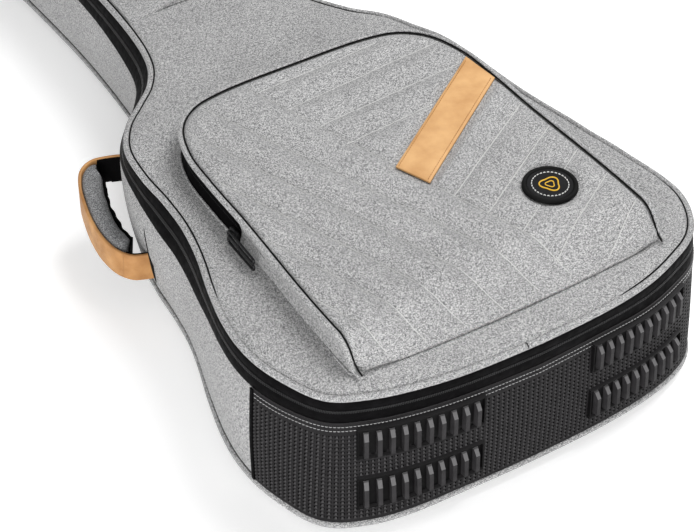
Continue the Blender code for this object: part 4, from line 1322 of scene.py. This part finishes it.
def make_pocket_face():
    """Quilted face with its piping, a black line along the piping's inner side, and pale quilting threads
    that also paint the seams' highlight.
    """
    plan = POCKET.inset(0.0030)

    def under(p, edge):
        return face_base(p) - 0.0036
    shell = panel(plan, 0.0025, face_height, under, (0.0010, 0.0022, 0.0038), 0.015)
    piece = add_piece("pocket_face", *shell, HEATHER, 50.0)
    fold_blend(piece)
    finish_piece(piece, "heather_fabric", "pocket_face_lower", "pocket_face_upper")

    first, last = POCKET.station(0.0520, 1), POCKET.station(0.0520, -1)

    def to_tips(out, up):
        """Along the face's edge from one pointed lower corner round to the other."""
        run = run_path(POCKET, first, last, out, lambda y: side_height(y, up), 0.0025)
        tip = np.array([[abs(run[0, 0]) - 0.0002, y_at(0.0440), GUSSET_FOOT + 0.0068 + up],
                        [abs(run[0, 0]) - 0.0007, y_at(0.0365), GUSSET_FOOT + 0.0034 + up]])
        return spline(np.vstack([tip[::-1], run[::4], tip * (-1.0, 1.0, 1.0)]), 0.0025)
    path = to_tips(-0.0008, -0.0011)
    ends = np.minimum(np.arange(len(path)), np.arange(len(path))[::-1]) / 8.0
    cord = tube(path, circle(0.0025, 10), scale=np.clip(ends, 0.15, 1.0) ** 0.5)
    piece = add_piece("pocket_piping", *cord, HEATHER)
    fold_blend(piece)
    finish_piece(piece, "heather_fabric", "pocket_piping_lower", "pocket_piping_upper")
    path = to_tips(-0.0038, 0.0004)
    piece = add_piece("pocket_piping_black_line", *tube(path, circle(0.0009, 6)), SEAM_BLACK_AND_SHADOW)
    fold_blend(piece)
    finish_piece(piece, "heather_fabric")
    # pale tubes along the seams: sewing thread, and painted highlight of the seams' raised lips
    threads = []
    for a, b in quilt_seams():
        line = resample(np.array([a, b]), 0.0022, False)
        depth = edge_distance(line, plan.points[::2])
        clear = np.hypot(line[:, 0] - BADGE.x, line[:, 1] - BADGE.y) > BADGE_R
        open_run = inside(line, plan.points) & (depth > 0.004) & (strip_cover(line) < 0.9) & clear
        z = face_height(line, depth) + 0.0004
        runs = np.split(np.arange(len(line)), np.flatnonzero(np.diff(open_run.astype(int))) + 1)
        threads += [tube(np.column_stack([line[r], z[r]]), circle(0.00050, 4))
                    for r in runs if open_run[r[0]] and len(r) > 3]
    piece = add_piece("pocket_quilting_thread_and_highlight", *joined(threads), THREAD_PALE_AND_HIGHLIGHT)
    fold_blend(piece)
    finish_piece(piece, "heather_fabric")


def wall_top(y):
    """Top of the pocket's side wall at y, below the piping."""
    return float(side_height([y], 0.0)[0]) - 0.0026


def pocket_wall(name, body, stations, low, high, material, slot, *nodes):
    """A stretch of the pocket's side wall between two heights."""
    def section(y):
        top = min(high, wall_top(y)) if high else wall_top(y)
        z = low + np.linspace(0.0, 1.0, 9) * max(top - low, 0.0006)
        tuck = 0.0050 * (1 - smoothstep(y, y_at(0.0375), y_at(0.0430)))
        bellows = 0.0010 * np.cos(2 * math.pi * (z - GUSSET_FOOT) / (FLAP_TAPE[1] - GUSSET_FOOT))
        out = -0.0014 - tuck + bellows
        return np.vstack([np.column_stack([out, z]), np.column_stack([out - 0.0016, z])[::-1]])
    piece = add_piece(name, *wall(POCKET, stations, section), material)
    dress(piece, body, slot, *nodes)


def make_pocket_walls():
    """Side walls, zip bands and teeth of the pocket, and its lining."""
    right, left = FOLD
    zip_right = POCKET.station(ZIP_END_RIGHT, 1)
    zip_left = POCKET.station(ZIP_END_LEFT, -1)
    gap = 0.12
    pocket_wall("pocket_side_wall", "lid", POCKET.run(left + gap, right - gap + POCKET.count, 0.003),
                GUSSET_FOOT, None, HEATHER, "heather_fabric", "pocket_gusset")
    for name, a, b in (("right", right + gap, zip_right), ("left", zip_left, left - gap)):
        stations = POCKET.run(a, b, 0.003)
        pocket_wall(f"pocket_wall_{name}", "lid", stations, GUSSET_FOOT, POCKET_TAPE[1], HEATHER,
                    "heather_fabric")
        pocket_wall(f"flap_wall_{name}", "pocket_flap", stations, FLAP_TAPE[0], None, HEATHER,
                    "heather_fabric")
    stations = POCKET.run(zip_right, zip_left, 0.003)
    pocket_wall("pocket_zip_band", "lid", stations, GUSSET_FOOT + 0.0008, POCKET_TAPE[1], BAND,
                "zip_tape", "pocket_zip_tape")
    pocket_wall("flap_zip_band", "pocket_flap", stations, FLAP_TAPE[0], None, BAND, "zip_tape",
                "flap_zip_tape")
    row = teeth(POCKET, stations[0], stations[-1], 0.0024, (0.0007, 0.0006, 0.0006), -0.0026,
                POCKET_TAPE[1] - 0.0007)
    dress(add_piece("pocket_zip_teeth", *row, COIL), "lid", "zip_tape")
    base = run_path(POCKET, POCKET.station(0.045, 1), POCKET.station(0.045, -1), 0.0006,
                    GUSSET_FOOT + 0.0006, 0.003)
    dress(add_piece("pocket_base_seam", *tube(base, circle(0.0011, 6)), HEATHER), "lid", "heather_fabric")
    inner = POCKET.inset(0.0060)
    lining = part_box("pocket_lining")

    def top(p, edge):
        return lining[1].z + 0.0012 + 0.0006 * ripple(p, 0.05, 9)
    piece = add_piece("pocket_floor", *panel(inner, 0.010, top, lining[0].z + 0.0002), LINING)
    dress(piece, "lid", "lining_fabric", "pocket_lining")


def make_leather_strip():
    """Leather strip sewn across the quilting, with a stitched row along each long edge."""
    a, b, c, d = (np.array((x, y_at(y))) for x, y in STRIP)

    def across(u, v):
        return (b * (1 - u) + c * u) * (1 - v) + (a * (1 - u) + d * u) * v
    us = np.linspace(0.0, 1.0, 61)
    vs = np.concatenate([[0.0, 0.02, 0.06], np.linspace(0.12, 0.88, 11), [0.94, 0.98, 1.0]])
    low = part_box("leather_strip")[0].z - 0.0012
    wide, long = 0.037, 0.165
    rows = []
    for u in us:
        row = []
        for v in vs:
            p = across(u, v)
            edge = min(v, 1 - v) * wide
            end = min(u, 1 - u) * long
            round_off = 0.0010 * (1 - float(smoothstep(min(edge, end), 0.0, 0.0014)))
            groove = 0.0003 * math.exp(-((edge - 0.0028) / 0.0008) ** 2)
            lift = 0.0004 * noise.noise(Vector((p[0] * 22, p[1] * 22, 0.0)))
            row.append((p[0], p[1], low + 0.0029 - round_off - groove + lift))
        rows.append(row + [(x, y, low) for x, y, _ in reversed(row)])
    piece = add_piece("leather_band", *sweep(rows), LEATHER, 50.0)
    dress(piece, "pocket_flap", "tan_leather", "leather_strip")
    lines = []
    for v in (0.072, 0.928):
        ends = [across(u, v) for u in (0.008, 0.985)]
        lines.append(flat_stitches([(*p, low + 0.0029) for p in ends], 0.0030, 0.00028))
    dress(add_piece("leather_band_stitching", *joined(lines), THREAD_TAN), "pocket_flap", "tan_leather")


def make_badge():
    """Round sewn badge: a thick black rim, a dark field, a dotted ring and a plectrum outline."""
    low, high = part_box("badge_rim")[0].z - 0.0010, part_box("badge_rim")[1].z

    def at(radius, turn, z):
        return (BADGE.x + radius * math.cos(turn), BADGE.y + radius * math.sin(turn), z)
    turn = np.linspace(0.0, 2 * math.pi, 72, endpoint=False)
    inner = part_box("badge_disc")[1].x - BADGE.x + 0.0002
    middle, half = (BADGE_R + inner) / 2, (BADGE_R - inner) / 2
    rows = []
    for k, a in enumerate(turn):
        cord = 0.00012 * (k % 2)
        row = []
        for step in range(9):
            b = math.pi * step / 8
            z = low + (high - low - cord) * math.sin(b) ** 0.6
            row.append(at(middle + half * math.cos(b), a, z))
        rows.append(row)
    dress(add_piece("badge_border", *sweep(rows, True), SEAM_BLACK_AND_SHADOW), "lid", "foot_rubber", "badge_rim")
    field = high - 0.0012
    ring = [at(inner, a, 0.0)[:2] for a in turn]
    plate = add_piece("badge_plate", *prism(ring, (low, field)), BADGE_FIELD)
    dress(plate, "lid", "buckle_plastic", "badge_disc")
    dots = []
    for k in range(30):
        a = 2 * math.pi * k / 30
        ends = [at(inner * 0.80, a + s, field + 0.0002) for s in (-0.055, 0.055)]
        dots.append(stitch(*ends, (0.0, 0.0, 1.0), 0.00050))
    dress(add_piece("badge_dashes", *joined(dots), THREAD_WHITE), "lid", "buckle_plastic")
    lines = []
    for radius, thread_r in ((0.0085, 0.00065), (0.0085 * 0.45, 0.0005)):
        pick = [at(radius * (1 + 0.16 * math.cos(3 * (a + math.pi / 2))), a, field + 0.0003)
                for a in np.linspace(0.0, 2 * math.pi, 48, endpoint=False)]
        lines.append(tube(pick, circle(thread_r, 6), True))
    dress(add_piece("badge_plectrum", *joined(lines), GOLD), "lid", "buckle_plastic")


# ---- zip pulls ------------------------------------------------------------------------
SLIDER = (0.0130, 0.0055, 0.0100)   # length, depth and height of a zip slider


def slider_parts():
    """A zip slider along +X with its bridge, face towards +Y."""
    length, depth, height = SLIDER
    rows = []
    for share, shrink in ((-0.5, 0.60), (-0.42, 0.84), (-0.2, 1.0), (0.15, 1.0), (0.4, 0.8), (0.5, 0.62)):
        section = rounded_box(depth * 0.55, height * shrink, 0.0011)
        rows.append([(share * length, depth * 0.275 + a, b) for a, b in section])
    bridge = [(x * length, y * depth, 0.0) for x, y in
              ((-0.30, 0.5), (-0.22, 0.95), (0.05, 1.02), (0.26, 0.80), (0.32, 0.5))]
    strap = tube(spline(bridge, 0.0012), rounded_box(0.0030, 0.0012, 0.0005), up=(0.0, 1.0, 0.0))
    return joined([sweep(rows), strap])


def puller_parts(length, half, radius, sides=(0.0,)):
    """Wire loops side by side along +X from their hinge, each with a cross bar."""
    parts = []
    for side in sides:
        loop = rounded_box(length, 2 * half, half * 0.95, 6) + (length / 2, side)
        path = spline([(x, y, 0.0) for x, y in loop], 0.0012, True)
        bar = np.array([(length * 0.42, side + y, 0.0) for y in np.linspace(-half, half, 5)])
        parts += [tube(path, circle(radius, 8), True), tube(bar, circle(radius * 0.9, 8))]
    return joined(parts)


def add_metal(name, node, shape, axes, at):
    """A small metal part turned to three axes, moved to its place, on the body of its node."""
    verts, faces = shape
    basis = np.array([list(a) for a in axes])
    piece = add_piece(name, np.asarray(verts) @ basis + np.asarray(at), faces, METAL)
    dress(piece, node, "black_metal", node)


def make_pulls():
    """Two sliders with pullers on the main zip, and one with a longer puller on the pocket."""
    up = (0, 0, 1)
    a, b = centre_of("main_slider_a"), centre_of("main_slider_b")
    along = Vector((a.x - b.x, a.y - b.y, 0.0)).normalized()
    out = Vector((along.y, -along.x, 0.0))
    if out.x < 0:
        out = -out
    for name, centre in (("a", a), ("b", b)):
        add_metal(f"main_zip_slider_{name}", f"main_slider_{name}", slider_parts(), (along, out, up),
                  centre - out * SLIDER[1] / 2)
        lo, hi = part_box(f"main_puller_{name}")
        hinge = ((lo.x + hi.x) / 2, (lo.y + hi.y) / 2, hi.z)
        add_metal(f"main_zip_puller_{name}", f"main_puller_{name}", puller_parts(0.0295, 0.0029, 0.00085),
                  ((0, 0, -1), along, out), hinge)
    centre = centre_of("pocket_slider")
    out = Vector((*POCKET.outward([POCKET.station(centre.y - FOOT_Y, -1)])[0], 0.0)).normalized()
    down = Vector((-out.y, out.x, 0.0))
    if down.y > 0:
        down = -down
    add_metal("pocket_zip_slider", "pocket_slider", slider_parts(), (-down, out, up),
              centre - out * SLIDER[1] / 2)
    lo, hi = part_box("pocket_puller")
    hinge = Vector(((lo.x + hi.x) / 2 - down.x * (hi.y - lo.y) / 2, hi.y, (lo.z + hi.z) / 2)) - down * 0.0003
    add_metal("pocket_zip_puller", "pocket_puller", puller_parts(0.0455, 0.0027, 0.0012, (-0.0036, 0.0036)),
              (down, up, out), hinge)


# ---- the carry handle -----------------------------------------------------------------
GRIP_THICK = 0.0215
LEATHER_THICK = 0.0032
STRAP_WIDE = 0.031
STRAP_BOW = 0.0012               # the strap's edges curl in by this


def handle_path():
    """Middle line of the strap, with both ends inside the gusset."""
    ends = [HANDLE_IN[0]] + HANDLE + [HANDLE_IN[1]]
    return spline([(x, y_at(d), z) for x, d, z in ends], 0.003)


def strap_layer(path, low, high, width):
    """A strap layer between two distances outwards from the path."""
    _, side, up = frames_along(path)
    section = rounded_box(high - low, width, min(0.0012, (high - low) * 0.45), 3)
    rows = []
    for p, s, u in zip(path, side, up):
        across = section[:, 1:2] / (width / 2)
        out = section[:, :1] + (low + high) / 2 - STRAP_BOW * across ** 2
        rows.append(p - s * out + u * section[:, 1:2])
    return sweep(rows)


def make_handle():
    """Leather strap in three stretches, whose ends bend into the gusset, and its grip."""
    path = handle_path()
    distance = run_length(path)
    lower = int(np.searchsorted(distance, 0.030))
    upper = int(np.searchsorted(distance, distance[-1] - 0.034))
    strap = strap_layer(path[lower:upper + 1], 0.0, LEATHER_THICK, STRAP_WIDE)
    middle = add_piece("handle_leather_strap", *strap, HANDLE_LEATHER)
    dress(middle, "handle", "tan_leather", "handle_leather")
    for label, span in (("lower", slice(0, lower + 1)), ("upper", slice(upper, None))):
        part = path[span]
        for name, low, high, w, material, slot in (
                (f"handle_strap_{label}_end", 0.0, LEATHER_THICK, STRAP_WIDE, HANDLE_LEATHER, "tan_leather"),
                (f"handle_lining_{label}_end", -0.0024, -0.0002, STRAP_WIDE - 0.0015, BAND, "black_fabric")):
            piece = add_piece(name, *strap_layer(part, low, high, w), material)
            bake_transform(piece)
            finish_piece(piece, slot)
    make_grip(path, distance, lower, upper)


def make_grip(path, distance, lower, upper):
    """Padded roll inside the leather, and the black lining on its inner face."""
    first = int(np.searchsorted(distance, 0.031))
    last = int(np.searchsorted(distance, distance[-1] - 0.044))
    part = path[first:last + 1]
    _, side, up = frames_along(part)
    corners = 24
    turn = np.arange(corners) * 2 * math.pi / corners
    rows = []
    for k, (p, s, u) in enumerate(zip(part, side, up)):
        swell = cap(k, len(part))
        c, n = np.cos(turn), np.sin(turn)
        depth = np.sign(c) * np.abs(c) ** 0.72 * GRIP_THICK / 2 * swell
        high = np.sign(n) * np.abs(n) ** 0.66 * 0.0172 * (0.45 + 0.55 * swell)
        rows.append(p + s * ((GRIP_THICK / 2 * swell + 0.0002) + depth)[:, None] + u * high[:, None])
    verts, faces = sweep(rows)
    verts = np.array(verts)
    centre = np.repeat(part, corners, axis=0)
    outward = verts - centre
    outward /= np.linalg.norm(outward, axis=1)[:, None]
    verts += outward * (0.0009 * ripple(verts, 0.011, 8) + 0.0011 * ripple(verts, 0.03, 7))[:, None]
    piece = add_piece("handle_grip_roll", verts, faces, GRIP_FABRIC, 60.0)
    dress(piece, "handle", "heather_fabric", "handle_grip")
    part = path[lower + 1:upper + 1]
    _, side, up = frames_along(part)
    rows = []
    for k, (p, s, u) in enumerate(zip(part, side, up)):
        swell = cap(k + lower + 1 - first, last + 1 - first)
        section = rounded_box(0.0022, 0.0290 - 0.0030 * swell, 0.0010, 3)
        wave = (0.0006 * math.sin(k * 1.1) + 0.0005 * math.sin(k * 0.45 + 1.0)) * swell
        rows.append(p + s * (section[:, :1] + 0.0013 + GRIP_THICK * swell + wave) + u * section[:, 1:2])
    piece = add_piece("handle_inner_lining", *sweep(rows), BAND, 50.0)
    dress(piece, "handle", "black_fabric", "handle_lining")


def cap(k, count):
    """Fullness of the roll at its k-th section: 0 past its ends, 1 in its middle."""
    return math.sqrt(min(1.0, max(0.0, min(k, count - 1 - k) / 4.0)))


def make_slit():
    """Black tube painted as the shadow in the seam slit in the gusset, where the strap's lower end goes in.
    """
    station = OUTLINE.station(0.3545, -1)
    z = np.linspace(0.032, 0.104, 26)
    swell = np.sin(math.pi * (z - z[0]) / (z[-1] - z[0]))
    xy = OUTLINE.at(station + 0.0022 * swell / OUTLINE.step, 0.0014)
    taper = np.sqrt(np.clip(swell, 0.02, 1.0))
    slit = tube(np.column_stack([xy, z]), circle(0.0013, 6), up=(0.0, 1.0, 0.0), scale=taper)
    dress(add_soft("handle_slit_shadow", *slit, SEAM_BLACK_AND_SHADOW), "case", "heather_fabric")


# ---- stage ----------------------------------------------------------------------------
def make_stage():
    """White floor, white surroundings and two soft lights."""
    bpy.ops.mesh.primitive_plane_add(size=14.0, location=(0.0, 0.0, -0.0004))
    floor = bpy.context.object
    floor.name = "floor"
    material = bpy.data.materials.new("floor")
    material.use_nodes = True
    shader = material.node_tree.nodes["Principled BSDF"]
    shader.inputs["Base Color"].default_value = (0.95, 0.95, 0.95, 1.0)
    shader.inputs["Roughness"].default_value = 0.9
    shader.inputs["Specular IOR Level"].default_value = 0.1
    shader.inputs["Emission Color"].default_value = (1.0, 1.0, 1.0, 1.0)
    shader.inputs["Emission Strength"].default_value = 0.30
    floor.data.materials.append(material)
    world = bpy.data.worlds.new("studio")
    world.use_nodes = True
    background = world.node_tree.nodes["Background"]
    background.inputs[0].default_value = (1.0, 1.0, 1.0, 1.0)
    background.inputs[1].default_value = 0.42
    bpy.context.scene.world = world
    for name, place, target, size, power in (
            ("key", (0.70, 0.22, 1.6), (0.0, 0.08, 0.15), 1.2, 25.0),
            ("fill", (-1.6, -1.7, 0.7), (-0.1, 0.0, 0.08), 1.4, 50.0)):
        light = bpy.data.lights.new(name, "AREA")
        light.shape = "DISK"
        light.size = size
        light.energy = power
        lamp = bpy.data.objects.new(name, light)
        lamp.location = place
        lamp.rotation_euler = (Vector(target) - Vector(place)).to_track_quat("-Z", "Y").to_euler()
        bpy.context.scene.collection.objects.link(lamp)
    bpy.context.scene.view_settings.view_transform = "Standard"


def make_camera():
    """Long lens from above the foot end's left corner."""
    azimuth, elevation, roll = math.radians(-32.8), math.radians(41.9), math.radians(0.44)
    target, reach = Vector((-0.030, 0.159, 0.070)), 1.945
    back = Vector((math.sin(azimuth) * math.cos(elevation), -math.cos(azimuth) * math.cos(elevation),
                   math.sin(elevation)))
    data = bpy.data.cameras.new("camera")
    data.lens = 107.9
    data.sensor_width = 36.0
    data.shift_x = -0.00315
    data.shift_y = -0.00903
    camera = bpy.data.objects.new("camera", data)
    camera.location = target + back * reach
    camera.rotation_mode = "QUATERNION"
    camera.rotation_quaternion = (-back).to_track_quat("-Z", "Y") @ Quaternion((0.0, 0.0, 1.0), roll)
    bpy.context.scene.collection.objects.link(camera)
    bpy.context.scene.camera = camera


make_camera()
make_stage()
make_gusset()
make_guard()
make_feet()
make_base_rim()
make_main_zip()
make_back()
make_interior()
make_cushions()
make_straps()
make_inside_fittings()
make_haul_loop()
make_lid()
make_neck_panel()
make_pocket_face()
make_pocket_walls()
make_leather_strip()
make_badge()
make_pulls()
make_handle()
make_slit()
